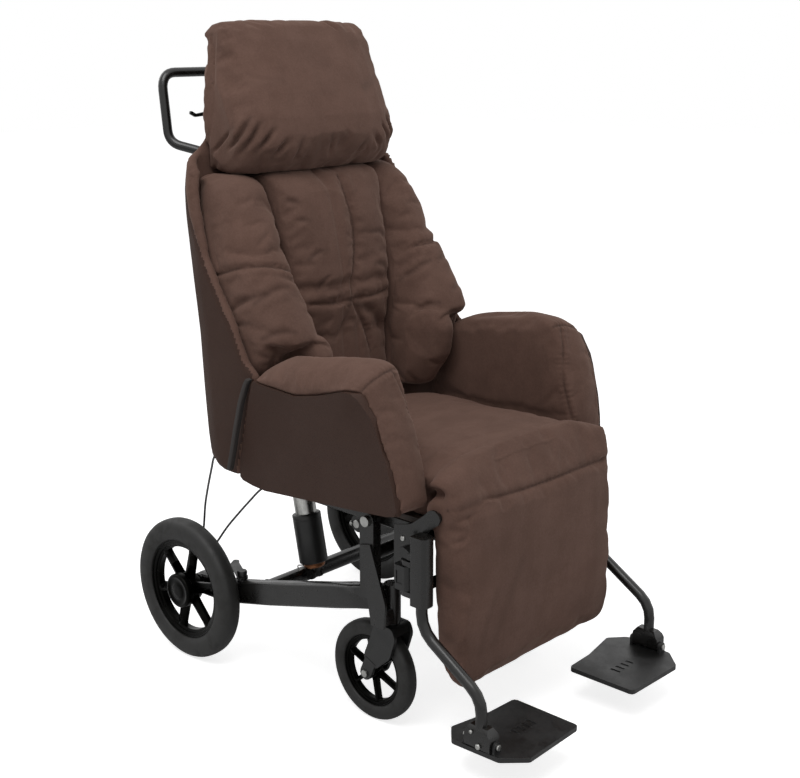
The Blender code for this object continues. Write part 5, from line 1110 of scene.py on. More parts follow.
    def sew(self, piece: bpy.types.Object) -> None:
        """Presses the seams and folds in, adds faint wrinkles, and stores a darkening: dark thread along the seams and
        painted shade along the folds.
        """
        at, out = self.places(piece)
        push = np.zeros(len(at), dtype=np.float32)
        dark = np.zeros(len(at), dtype=np.float32)
        for stroke in self.seams + self.folds:
            line = stroke.route()
            room = max(3 * stroke.width, 2.2 * stroke.crest_at if stroke.crest else 0, 2 * stroke.reach if stroke.gather else 0) + 0.006
            low, high = line.min(axis=0) - room, line.max(axis=0) + room
            chosen = np.where(np.all((at > low) & (at < high), axis=1))[0]
            if len(chosen):
                push[chosen] += stroke.heights(at, out, chosen)
                # Seams get a narrow full-strength dark line for the thread; folds get a wider, weaker painted shade.
                width, depth = (self.thread, 1.0) if stroke in self.seams else (0.8 * stroke.width, self.shade)
                away = np.linalg.norm(at[chosen][:, None] - line[None, ::2], axis=2).min(axis=1)
                dark[chosen] = np.maximum(dark[chosen], depth * np.exp(-(away / width) ** 2))
        piece.data.attributes.new(THREAD_AND_FOLD_SHADE, "FLOAT", "POINT").data.foreach_set("value", dark)
        if self.wrinkle:
            ax, ay, az = self.grain
            for k, (x, y, z) in enumerate(at.tolist()):
                p = Vector((x * ax, y * ay, z * az))
                bent = noise.noise(p + Vector((7.1, 3.3, 1.7)))
                push[k] += self.wrinkle * (0.7 * noise.noise(p * 1.9 + Vector((bent, bent, 0))) + 0.8 * bent)
        self.put(piece, at + out * push[:, None])

    def fence(self, piece: bpy.types.Object, own: BVHTree, near: BVHTree) -> None:
        """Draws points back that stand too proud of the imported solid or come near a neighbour, and evens out the edge.

        Args:
            piece: the piece.
            own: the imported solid's faces.
            near: the neighbours' faces.
        """
        at, _ = self.places(piece)
        links = np.empty(len(piece.data.edges) * 2, dtype=np.int32)
        piece.data.edges.foreach_get("vertices", links)
        links = links.reshape(-1, 2)
        ways = np.bincount(links.ravel(), minlength=len(at))[:, None]
        for turn in range(3):
            pulled = np.zeros(len(at), dtype=bool)
            for k, place in enumerate(at.tolist()):
                here = Vector(place)
                spot, normal, _, far = own.find_nearest(here, 0.05)
                if spot is None or (here - spot).dot(normal) <= 0:
                    continue
                found = near.find_nearest(spot, 0.05)
                room = self.proud if found[0] is None else min(self.proud, 0.42 * found[3])
                if far > room:
                    at[k] = spot + (here - spot) * (room / far)
                    pulled[k] = True
            if turn == 2:
                break
            for _ in range(4):
                around = np.zeros_like(at)
                np.add.at(around, links[:, 0], at[links[:, 1]])
                np.add.at(around, links[:, 1], at[links[:, 0]])
                at = np.where(pulled[:, None], 0.4 * at + 0.6 * around / ways, at)
        self.put(piece, at)
        LOG.info("%s: %d of %d points drawn back", self.name, int(pulled.sum()), len(at))

    def make(self, shop: Workshop, extra: bmesh.types.BMesh | None = None) -> bpy.types.Object:
        """Makes the whole skin, not yet on a body.

        Args:
            shop: the frame, the finishes and the piece list.
            extra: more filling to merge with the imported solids, or None.

        Returns:
            The piece.
        """
        bm = bmesh.new()
        for name in self.nodes:
            Meshes.add(bm, Meshes.node_copy(shop.node(name)))
        others = [node for name, node in shop.frame["nodes"].items() if name not in self.nodes]
        near = self.tree_of(others)
        if extra is not None:
            Meshes.add(bm, extra)
        own = BVHTree.FromBMesh(bm)
        piece = self.remeshed(bm)
        self.smooth(piece, self.smoothing)
        at, out = self.places(piece)
        fixed = self.held(at, near, list(self.seams))
        self.put(piece, at - out * (self.shrink * ~fixed)[:, None])
        self.puff(piece, fixed)
        self.smooth(piece, 1)
        self.close(piece)
        self.sew(piece)
        self.fence(piece, own, near)
        return piece

    def build(self, shop: Workshop, body: str, slot: Slot, extra: bmesh.types.BMesh | None = None) -> bpy.types.Object:
        """Makes the piece and puts it on its body.

        Args:
            shop: the frame, the finishes and the piece list.
            body: the body that it rides on.
            slot: its finish's slot.
            extra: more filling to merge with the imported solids, or None.

        Returns:
            The piece.
        """
        piece = shop.fit(self.make(shop, extra), body, slot, *self.nodes)
        return piece


@dataclass
class WheelShape:
    """The sizes of one moulded wheel: radii out from its axle, and reaches along it, outboard positive."""

    radius: float
    half: float
    seat: float
    opening: float
    hub: float
    hub_in: float
    hub_out: float
    spokes: int
    phase: float
    spoke_start: float
    spoke_wide: float
    spoke_end: float
    spoke_edge: float
    spoke_ridge: float

    TREAD = ((0.66, 0.0), (0.76, 0.018), (0.835, 0.055), (0.865, 0.105), (0.93, 0.160), (0.98, 0.255), (1.0, 0.385),
             (0.99, 0.545), (0.945, 0.705), (0.855, 0.828), (0.68, 0.923), (0.455, 0.978), (0.225, 0.996))

    def tyre(self, centre: Vector, along: Vector) -> bmesh.types.BMesh:
        """The tyre: bead, bulging walls and a rounded tread.

        Args:
            centre: the wheel's middle.
            along: the way out of the chair along its axle.

        Returns:
            The mesh.
        """
        depth = self.radius - self.seat
        wall = [(u * self.half, self.seat + v * depth) for u, v in self.TREAD]
        profile = [(-s, r) for s, r in wall] + [(0.0, self.radius)] + [(s, r) for s, r in reversed(wall)]
        return Meshes.turned(profile, centre, along, 96)

    def ring(self, centre: Vector, along: Vector) -> bmesh.types.BMesh:
        """The rim's ring, stepped down on both faces from the tyre to the opening."""
        lip = self.seat - 0.0005
        wide = self.half * 0.66
        deep = lip - self.opening
        steps = [(0.0, 1.0), (0.10, 1.0), (0.16, 0.96), (0.20, 0.84), (0.52, 0.80), (0.60, 0.76), (0.66, 0.60), (0.92, 0.54),
                 (1.0, 0.46)]
        face = [(wide * w, lip - deep * d) for d, w in steps]
        profile = face + [(-s, r) for s, r in reversed(face)]
        return Meshes.turned(profile, centre, along, 96)

    def spoke(self, angle: float, centre: Vector, along: Vector) -> bmesh.types.BMesh:
        """One spoke with a ridge down each face, flared where it meets the rim.

        Args:
            angle: its direction in the wheel's plane, from the front, in radians.
            centre: the wheel's middle.
            along: the way out of the chair along its axle.

        Returns:
            The mesh.
        """
        half = self.spoke_wide / 2
        edge, ridge = self.spoke_edge, max(self.spoke_ridge, self.spoke_edge + 0.0004)
        bm = bmesh.new()
        outline = [(-half, edge), (-half * 0.22, ridge), (half * 0.22, ridge), (half, edge), (half, -edge), (half * 0.22, -ridge),
                   (-half * 0.22, -ridge), (-half, -edge)]
        face = bm.faces.new([bm.verts.new((x, y, self.spoke_start)) for x, y in outline])
        reach = self.opening + 0.004
        narrow = self.spoke_end / self.spoke_wide
        at = self.spoke_start
        size = 1.0
        for share, wide in ((0.22, 0.4 + 0.6 * narrow), (0.80, narrow), (0.92, narrow * 1.10), (1.0, narrow * 1.45)):
            grown = bmesh.ops.extrude_face_region(bm, geom=[face])
            verts = [v for v in grown["geom"] if isinstance(v, bmesh.types.BMVert)]
            face = next(f for f in grown["geom"] if isinstance(f, bmesh.types.BMFace))
            ahead = self.spoke_start + (reach - self.spoke_start) * share
            bmesh.ops.translate(bm, vec=(0, 0, ahead - at), verts=verts)
            bmesh.ops.scale(bm, vec=(wide / size, 1, 1), verts=verts)
            at, size = ahead, wide
        bmesh.ops.recalc_face_normals(bm, faces=bm.faces[:])
        Meshes.round_edges(bm, 0.0009, 40.0)
        ahead = Vector((0, -math.cos(angle), math.sin(angle)))
        aside = along.cross(ahead)
        turn = Matrix((aside, along, ahead)).transposed().to_4x4()
        bmesh.ops.transform(bm, matrix=Matrix.Translation(centre) @ turn, verts=bm.verts[:])
        bmesh.ops.recalc_face_normals(bm, faces=bm.faces[:])
        return bm

    def body(self, centre: Vector, along: Vector, ribs: int) -> bmesh.types.BMesh:
        """The moulding that the tyre sits on: ring, spokes, hub barrel and its ribs.

        Args:
            centre: the wheel's middle.
            along: the way out of the chair along its axle.
            ribs: how many ribs stand on the hub's barrel.

        Returns:
            The mesh.
        """
        bm = self.ring(centre, along)
        r = self.hub
        low, high = self.hub_in, self.hub_out
        hub = [(low, 0.0), (low, r * 0.62), (low + 0.0016, r * 0.70), (low + 0.006, r * 0.74), (low + 0.009, r * 0.97),
               (low + 0.011, r), (high - 0.003, r), (high - 0.001, r * 0.97), (high, r * 0.90), (high, 0.0)]
        Meshes.add(bm, Meshes.turned(hub, centre, along, 48))
        for k in range(self.spokes):
            Meshes.add(bm, self.spoke(self.phase + 2 * math.pi * k / self.spokes, centre, along))
        for k in range(ribs):
            a = self.phase + math.pi / ribs + 2 * math.pi * k / ribs
            ahead = Vector((0, -math.cos(a), math.sin(a)))
            aside = along.cross(ahead) * 0.0011
            root, tip = centre + ahead * (r - 0.002), centre + ahead * (r + 0.0055)
            outline = [root + along * (low + 0.011), root + along * (high - 0.002), tip + along * (high - 0.002),
                       tip + along * (high - 0.008)]
            Meshes.add(bm, Meshes.slab([p - aside for p in outline], aside * 2, 0.0003))
        return bm


@dataclass
class RearWheel:
    """A 300 mm wheel with its tyre, six-spoked rim and hub cap."""

    side: Side
    track: float = 0.281
    cap: float = 0.0365
    shape: WheelShape = field(default_factory=lambda: WheelShape(0.150, 0.022, 0.1062, 0.090, 0.030, -0.0235, 0.0135, 6,
                                                                 math.radians(75), 0.024, 0.027, 0.0215, 0.0040, 0.0090))

    def build(self, shop: Workshop) -> None:
        """Builds the wheel's three pieces.

        Args:
            shop: the frame, the finishes and the piece list.
        """
        word = self.side.word
        along = Vector((self.side.sign, 0, 0))
        centre = Vector((self.track * self.side.sign, ROOT_Y, self.shape.radius))
        tyre = Meshes.to_object(self.shape.tyre(centre, along), f"rear_tyre_{word}_rolled", shop.finishes.rubber, 50)
        shop.fit(tyre, f"rear_wheel_{word}", Slot.TYRE, f"rear_tyre_{word}")
        body = self.shape.body(centre, along, 12)
        rim = Meshes.to_object(body, f"rear_rim_{word}_moulding", shop.finishes.rim_plastic, 32)
        shop.fit(rim, f"rear_wheel_{word}", Slot.MOULDED, f"rear_rim_{word}")
        r = self.cap
        profile = [(0.0003, 0), (0.0003, r - 0.0008), (0.0012, r), (0.0120, r), (0.0148, r - 0.0009), (0.0164, r - 0.0028),
                   (0.0170, r - 0.0050), (0.0167, r - 0.0074), (0.0152, r - 0.0098), (0.0148, 0.0180), (0.0156, 0.0166),
                   (0.0162, 0.0150), (0.0163, 0.0060), (0.0163, 0)]
        cap = Meshes.turned(profile, centre + along * self.shape.hub_out, along, 64)
        lid = Meshes.to_object(cap, f"rear_hub_cap_{word}_lid", shop.finishes.rim_plastic, 40)
        shop.fit(lid, f"rear_wheel_{word}", Slot.MOULDED, f"rear_hub_cap_{word}")


@dataclass
class CasterWheel:
    """A 200 mm swivelling caster wheel, its fork and its axle bolt."""

    side: Side
    track: float = 0.210
    axle_y: float = -0.116
    shape: WheelShape = field(default_factory=lambda: WheelShape(0.100, 0.016, 0.0712, 0.060, 0.014, -0.018, 0.018, 6,
                                                                 math.radians(160), 0.0115, 0.0105, 0.0080, 0.0062, 0.0070))

    def build(self, shop: Workshop) -> None:
        """Builds the wheel, and finishes the fork and its bolt.

        Args:
            shop: the frame, the finishes and the piece list.
        """
        word = self.side.word
        along = Vector((self.side.sign, 0, 0))
        centre = Vector((self.track * self.side.sign, self.axle_y, self.shape.radius))
        tyre = Meshes.to_object(self.shape.tyre(centre, along), f"caster_tyre_{word}_rolled", shop.finishes.rubber, 50)
        shop.fit(tyre, f"caster_wheel_{word}", Slot.TYRE, f"caster_tyre_{word}")
        rim = Meshes.to_object(self.shape.body(centre, along, 6), f"caster_rim_{word}_moulding", shop.finishes.rim_plastic, 32)
        shop.fit(rim, f"caster_wheel_{word}", Slot.MOULDED, f"caster_rim_{word}")
        shop.refine(f"caster_fork_{word}", 0.0022, 50.0, 55.0)
        shop.refine(f"caster_axle_{word}", 0.0006)


@dataclass
class TiltStrut:
    """The telescopic strut: clevis eye, copper collar, wire clip, black sleeve and silver tube."""

    x: float = -0.120
    foot: tuple[float, float] = (0.139, 0.194)
    head: tuple[float, float] = (0.1839, 0.4145)
    neck: float = 0.0095
    sleeve: float = 0.0295
    sleeve_start: float = 0.026
    sleeve_end: float = 0.130
    tube: float = 0.022
    tube_start: float = 0.113

    def build(self, shop: Workshop) -> None:
        """Builds the strut's pieces.

        Args:
            shop: the frame, the finishes and the piece list.
        """
        origin = Vector((self.x, *self.foot))
        span = Vector((self.x, *self.head)) - origin
        along, long = span.normalized(), span.length
        low, high, r = self.sleeve_start, self.sleeve_end, self.sleeve
        sleeve = Meshes.turned([(0.0100, 0), (0.0100, self.neck - 0.001), (0.0110, self.neck), (low, self.neck),
                                (low, r - 0.0030), (low + 0.0008, r - 0.0012), (low + 0.0022, r), (high - 0.0120, r),
                                (high - 0.0116, r - 0.0004), (high - 0.0108, r - 0.0004), (high - 0.0104, r), (high - 0.0018, r),
                                (high - 0.0004, r - 0.0010), (high, r - 0.0024), (high, self.tube + 0.0006),
                                (low + 0.004, self.tube + 0.0006), (low + 0.004, 0.008), (0.122, 0.008), (0.122, 0)],
                               origin, along, 64)
        Meshes.add(sleeve, self.eye(origin + along * 0.0125, origin, 0.0080))
        piece = Meshes.to_object(sleeve, "tilt_strut_sleeve_turned", shop.finishes.plastic, 40)
        shop.fit(piece, shop.body_of("tilt_strut_sleeve"), Slot.PAINTED, "tilt_strut_sleeve")
        cap = long - 0.014
        tube = Meshes.turned([(cap - 0.006, 0), (cap - 0.006, 0.0086), (self.tube_start, 0.0086), (self.tube_start, self.tube),
                              (cap - 0.005, self.tube), (cap - 0.002, self.tube - 0.002), (cap, self.tube - 0.006), (cap, 0)],
                             origin, along, 64)
        Meshes.add(tube, self.eye(origin + along * (cap - 0.003), origin + span, 0.0095))
        piece = Meshes.to_object(tube, "tilt_strut_tube_drawn", shop.finishes.zinc, 40)
        shop.fit(piece, shop.body_of("tilt_strut_tube"), Slot.ZINC, "tilt_strut_tube")
        collar = Meshes.turned([(0.0150, self.neck + 0.0003), (0.0150, 0.0185), (0.0158, 0.0200), (0.0182, 0.0218), (0.0200, 0.0225),
                                (0.0214, 0.0221), (0.0218, 0.0214), (0.0224, 0.0214), (0.0228, 0.0221), (0.0245, 0.0222),
                                (0.0253, 0.0214), (0.0255, 0.0205), (0.0255, self.neck + 0.0003)], origin, along, 64)
        piece = Meshes.to_object(collar, "tilt_strut_collar_ring", shop.finishes.copper, 40)
        shop.fit(piece, shop.body_of("tilt_strut_collar"), Slot.COPPER, "tilt_strut_collar")
        shop.refine("tilt_strut_clip", 0.0, 70)

    def eye(self, start: Vector, pin: Vector, radius: float) -> bmesh.types.BMesh:
        """A flat eye from a shoulder to a pin, rounded about the pin."""
        ahead = (pin - start).normalized()
        side = Vector((1, 0, 0)).cross(ahead)
        half = Vector((0.007, 0, 0))
        outline = [start - side * radius * 0.9 - half]
        for k in range(13):
            a = math.radians(-90 + 15 * k)
            outline.append(pin + side * math.sin(a) * radius + ahead * math.cos(a) * radius - half)
        outline.append(start + side * radius * 0.9 - half)
        return Meshes.slab(outline, half * 2, 0.0008, 50)


@dataclass
class Chassis:
    """The welded chassis with its bolts and brakes."""

    welds: tuple[tuple[Point, Point, float], ...] = (((0.2260, 0.166, 0.188), (1, 0, 0), 0.0165),)

    def build(self, shop: Workshop) -> None:
        """Finishes the base frame, the bolts and the brakes, and builds the strut.

        Args:
            shop: the frame, the finishes and the piece list.
        """
        shop.refine("base_frame", 0.0014, 50, 50)
        TiltStrut().build(shop)
        for side in Side:
            shop.refine(f"rear_axle_{side.word}", 0.0006)
            shop.refine(f"tilt_bolt_{side.word}", 0.0008)
            shop.refine(f"brake_lever_{side.word}", 0.0010)
            self.fixings(side, shop)

    def fixings(self, side: Side, shop: Workshop) -> None:
        """Adds the weld beads at the cross tube's end, and the nuts that show on one side of the frame.

        Args:
            side: which side.
            shop: the frame, the finishes and the piece list.
        """
        s = side.sign
        bm = bmesh.new()
        for (x, y, z), (ax, ay, az), r in self.welds:
            Meshes.add(bm, Meshes.bead(Vector((x * s, y, z)), Vector((ax * s, ay, az)), r, 0.0022))
        bead = Meshes.to_object(bm, f"frame_welds_{side.word}", shop.finishes.paint, 60)
        shop.fit(bead, "chassis", Slot.PAINTED)
        bm = Meshes.hex_bolt((0.2262 * s, 0.338, 0.156), (-s, 0, 0), 0.0060, 0.0045)
        Meshes.add(bm, Meshes.hex_bolt((0.2262 * s, 0.378, 0.146), (-s, 0, 0), 0.0050, 0.0040))
        nuts = Meshes.to_object(bm, f"axle_plate_nuts_{side.word}", shop.finishes.zinc, 30)
        shop.fit(nuts, "chassis", Slot.ZINC)


@dataclass
class SeatUndercarriage:
    """The seat's and the back's frames, the boards, the recline spring and the leg rest's frame."""

    def build(self, shop: Workshop) -> None:
        """Finishes the hidden frames, boards and the spring."""
        for name, width in (("seat_frame", 0.0010), ("back_frame", 0.0010), ("calf_frame", 0.0008), ("seat_board", 0.0015),
                            ("calf_board", 0.0015), ("recline_spring_body", 0.0006), ("recline_spring_rod", 0.0004)):
            shop.refine(name, width)


@dataclass
class FootHanger:
    """One swing-away foot hanger with its receiver, latch, clamp and flip-up footplate."""

    side: Side

    def build(self, shop: Workshop) -> None:
        """Builds and finishes the hanger's pieces.

        Args:
            shop: the frame, the finishes and the piece list.
        """
        word = self.side.word
        shop.refine(f"hanger_{word}", 0.0012)
        shop.refine(f"hanger_receiver_{word}", 0.0010)
        shop.refine(f"hanger_latch_{word}", 0.0008)
        shop.refine(f"footplate_{word}", 0.0008)
        shop.refine(f"footplate_pin_{word}", 0.0004)
        s = self.side.sign
        for body, name, bolts in ((f"hanger_{word}", "foot_bolts", (((0.2802, -0.4280, 0.0850), 1, 0.0052), ((0.2802, -0.4120, 0.1080), 1, 0.0034))),
                                  (f"hanger_{word}", "hanger_bolts", (((0.2670, -0.2400, 0.4150), 1, 0.0050),))):
            bm = bmesh.new()
            for (x, y, z), way, size in bolts:
                Meshes.add(bm, Meshes.turned([(-0.002, 0), (-0.002, size), (0.0004, size), (0.0014, size * 0.86), (0.0020, size * 0.5),
                                              (0.0020, size * 0.32), (0.0012, size * 0.28), (0.0012, 0)],
                                             Vector((x * s, y, z)), Vector((way * s, 0, 0)), 24))
            made = Meshes.to_object(bm, f"{name}_{word}", shop.finishes.zinc, 40)
            shop.fit(made, body, Slot.ZINC)


@dataclass
class ReleaseGrip:
    """A finger lever on its bracket under the push bar."""

    side: Side

    def build(self, shop: Workshop) -> None:
        """Finishes the bracket and the lever."""
        shop.refine(f"release_bracket_{self.side.word}", 0.0006)
        shop.refine(f"release_lever_{self.side.word}", 0.0010)


@dataclass
class PushBar:
    """The attendant's push bar, an upside-down U on two flanges."""

    half: float = 0.200
    radius: float = 0.0095
    foot_x: float = 0.155
    foot_z: float = 1.040
    grip_y: float = 0.478
    grip_z: float = 1.197

    def build(self, shop: Workshop) -> None:
        """Builds the bar, its flanges and their screws.

        Args:
            shop: the frame, the finishes and the piece list.
        """
        face = ROOT_Y - 0.0047
        right = [(self.foot_x, face + 0.001, self.foot_z), (self.foot_x + 0.004, face + 0.040, self.foot_z + 0.001),
                 (self.half, self.grip_y - 0.016, self.foot_z + 0.020), (self.half, self.grip_y, self.grip_z)]
        bm = Meshes.tube(right + [(-x, y, z) for x, y, z in reversed(right)], self.radius, 0.035, 32)
        for s in (-1, 1):
            at = Vector((s * self.foot_x, face, self.foot_z))
            Meshes.add(bm, Meshes.turned([(0, 0), (0, 0.0190), (0.0035, 0.0190), (0.0046, 0.0183), (0.0050, 0.0170), (0.0050, 0)],
                                         at, Vector((0, 1, 0)), 48))
            Meshes.add(bm, Meshes.bead(at + Vector((0, 0.0052, 0)), Vector((0, 1, 0)), self.radius, 0.0018))
        bar = Meshes.to_object(bm, "push_bar_tube", shop.finishes.paint, 40)
        shop.fit(bar, "back", Slot.PAINTED, "push_bar")
        screws = bmesh.new()
        for s in (-1, 1):
            for dx, dz in ((0.0135, 0.0), (-0.0135, 0.0), (0.0, -0.0138)):
                place = (s * self.foot_x + dx, face + 0.0050, self.foot_z + dz)
                Meshes.add(screws, Meshes.turned([(0, 0), (0, 0.0032), (0.0008, 0.0031), (0.0018, 0.0020), (0.0018, 0.0011),
                                                  (0.0009, 0.0010), (0.0009, 0)], Vector(place), Vector((0, 1, 0)), 16))
        made = Meshes.to_object(screws, "push_bar_screws", shop.finishes.zinc, 40)
        shop.fit(made, "back", Slot.ZINC)


@dataclass
class BackShell:
    """The leatherette bucket behind the cushions, lined in microfibre that is turned out over its rim."""

    border: tuple[tuple[float, float], ...] = ((0.345, 1.060), (0.2964, 0.9397), (0.2379, 0.8440), (0.1801, 0.7623), (0.0926, 0.6572),
                                               (0.0500, 0.6000))
    padding: float = 0.0045
    lip: float = 0.012
    groove: float = 0.0020
    groove_width: float = 0.0045

    def border_y(self, z: np.ndarray) -> np.ndarray:
        """How far back the turned-out lining reaches at each height."""
        ys, zs = zip(*reversed(self.border))
        return np.interp(z, zs, ys)

    def cut(self, shell: bpy.types.Object) -> None:
        """Cuts the skin's faces along the lining's border.

        Args:
            shell: the skin.
        """
        bm = bmesh.new()
        bm.from_mesh(shell.data)
        for (y0, z0), (y1, z1) in zip(self.border, self.border[1:]):
            faces = [f for f in bm.faces if z1 <= f.calc_center_median().z < z0]
            parts = faces + list({e for f in faces for e in f.edges}) + list({v for f in faces for v in f.verts})
            bmesh.ops.bisect_plane(bm, geom=parts, plane_co=(0, y0, z0), plane_no=(0, z1 - z0, y0 - y1), dist=0.0004)
        bm.to_mesh(shell.data)
        bm.free()

    def line(self, shell: bpy.types.Object, lining: bpy.types.Material) -> None:
        """Lines the skin's inside and rim, and pads the lining a little.

        Args:
            shell: the skin, already cut along the border.
            lining: the lining's material.
        """
        mesh = shell.data
        mesh.materials.append(lining)
        at, out = SoftForm.places(shell)
        ahead = self.border_y(at[:, 2]) - at[:, 1]
        inner = (out[:, 0] * np.sign(at[:, 0]) < -0.25) | (out[:, 1] < -0.35) | ((out[:, 2] > 0.45) & (at[:, 2] > 0.95))
        for face in mesh.polygons:
            x, y, z = face.center
            nx, ny, nz = face.normal
            inside = nx * math.copysign(1, x) < -0.25 or ny < -0.35 or (nz > 0.45 and z > 0.95)
            face.material_index = int(inside or y < float(self.border_y(np.array(z))))
        rise = np.clip(ahead / self.lip, 0, 1)
        push = self.padding * rise * rise * (3 - 2 * rise) - self.groove * np.exp(-(ahead / self.groove_width) ** 2)
        SoftForm.put(shell, at + out * np.where(inner, 0.0, push)[:, None])

    def build(self, shop: Workshop) -> None:
        """Builds the shell's skin and the push bar on it.

        Args:
            shop: the frame, the finishes and the piece list.
        """
        PushBar().build(shop)
        skin = SoftForm("back_shell_cover", ("back_shell",), 0.005, shop.finishes.leatherette)
        shell = skin.remeshed(Meshes.node_copy(shop.node("back_shell")))
        skin.smooth(shell, 6)
        self.cut(shell)
        self.line(shell, shop.finishes.microfibre)
        shell.data.shade_smooth()
        shop.fit(shell, "back", Slot.VINYL, "back_shell")


@dataclass
class ArmRest:
    """One arm's leatherette panel, the dark piping on its front edge and the strip behind it."""

    side: Side
    strip: tuple[tuple[float, float], ...] = ((0.1560, 0.4640), (0.1470, 0.4960), (0.1330, 0.5500), (0.1170, 0.6050), (0.1010, 0.6420),
                                              (0.0930, 0.6540))
    strip_width: float = 0.0090
    strip_x: float = 0.3150
    strip_depth: float = 0.0110

    def build(self, shop: Workshop) -> None:
        """Finishes the outer panel and adds the strip.

        Args:
            shop: the frame, the finishes and the piece list.
        """
        shop.refine(f"arm_panel_{self.side.word}", 0.0030, 40, 40)
        s = self.side.sign
        front = [(self.strip_x * s, y, z) for y, z in self.strip]
        rear = [(self.strip_x * s, y + self.strip_width, z + 0.002) for y, z in reversed(self.strip)]
        bm = Meshes.slab(front + rear, (self.strip_depth * s, 0, 0), 0.0015, 60)
        strip = Meshes.to_object(bm, f"arm_rear_strip_{self.side.word}", shop.finishes.thread, 50)
        shop.fit(strip, "seat", Slot.VINYL)


@dataclass
class ReleaseCable:
    """The thin cable from under the shell's foot to the rear of the chassis and up again."""

    diameter: float = 0.0045
    spacing: float = 0.018
    route: tuple[Point, ...] = (
        (-0.2850, 0.2479, 0.4674), (-0.2835, 0.2540, 0.4620), (-0.2760, 0.2730, 0.4290), (-0.2660, 0.2980, 0.3850),
        (-0.2530, 0.3260, 0.3350), (-0.2380, 0.3520, 0.2800), (-0.2260, 0.3750, 0.2300), (-0.2170, 0.3850, 0.2020),
        (-0.2090, 0.3780, 0.1990), (-0.2030, 0.3560, 0.2280), (-0.1960, 0.3280, 0.2680), (-0.1860, 0.3020, 0.3020),
        (-0.1760, 0.2740, 0.3360), (-0.1690, 0.2480, 0.3640), (-0.1650, 0.2160, 0.3840), (-0.1640, 0.1920, 0.3985),
        (-0.1640, 0.1872, 0.4120), (-0.1640, 0.1868, 0.4266))

    def build(self, shop: Workshop) -> None:
        """Lays the cable along its route.

        Args:
            shop: the frame, the finishes and the piece list.
        """
        fine = Stroke(self.route).route()
        run = np.concatenate([[0.0], np.cumsum(np.linalg.norm(np.diff(fine, axis=0), axis=1))])
        marks = np.linspace(0, run[-1], max(15, round(float(run[-1]) / self.spacing)))
        points = np.stack([np.interp(marks, run, fine[:, k]) for k in range(3)], axis=1)
        curve = bpy.data.curves.new("release_cable_sheath", "CURVE")
        curve.dimensions = "3D"
        curve.bevel_depth = self.diameter / 2
        curve.bevel_resolution = 4
        curve.use_fill_caps = True
        curve.resolution_u = 4
        line = curve.splines.new("BEZIER")
        line.bezier_points.add(len(points) - 1)
        for point, place in zip(line.bezier_points, points.tolist()):
            point.co = place
            point.handle_left_type = point.handle_right_type = "AUTO"
        curve.materials.append(shop.finishes.cable)
        cable = bpy.data.objects.new("release_cable_sheath", curve)
        bpy.context.scene.collection.objects.link(cable)
        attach(cable, shop.body_of("release_cable"))
        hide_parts("release_cable")


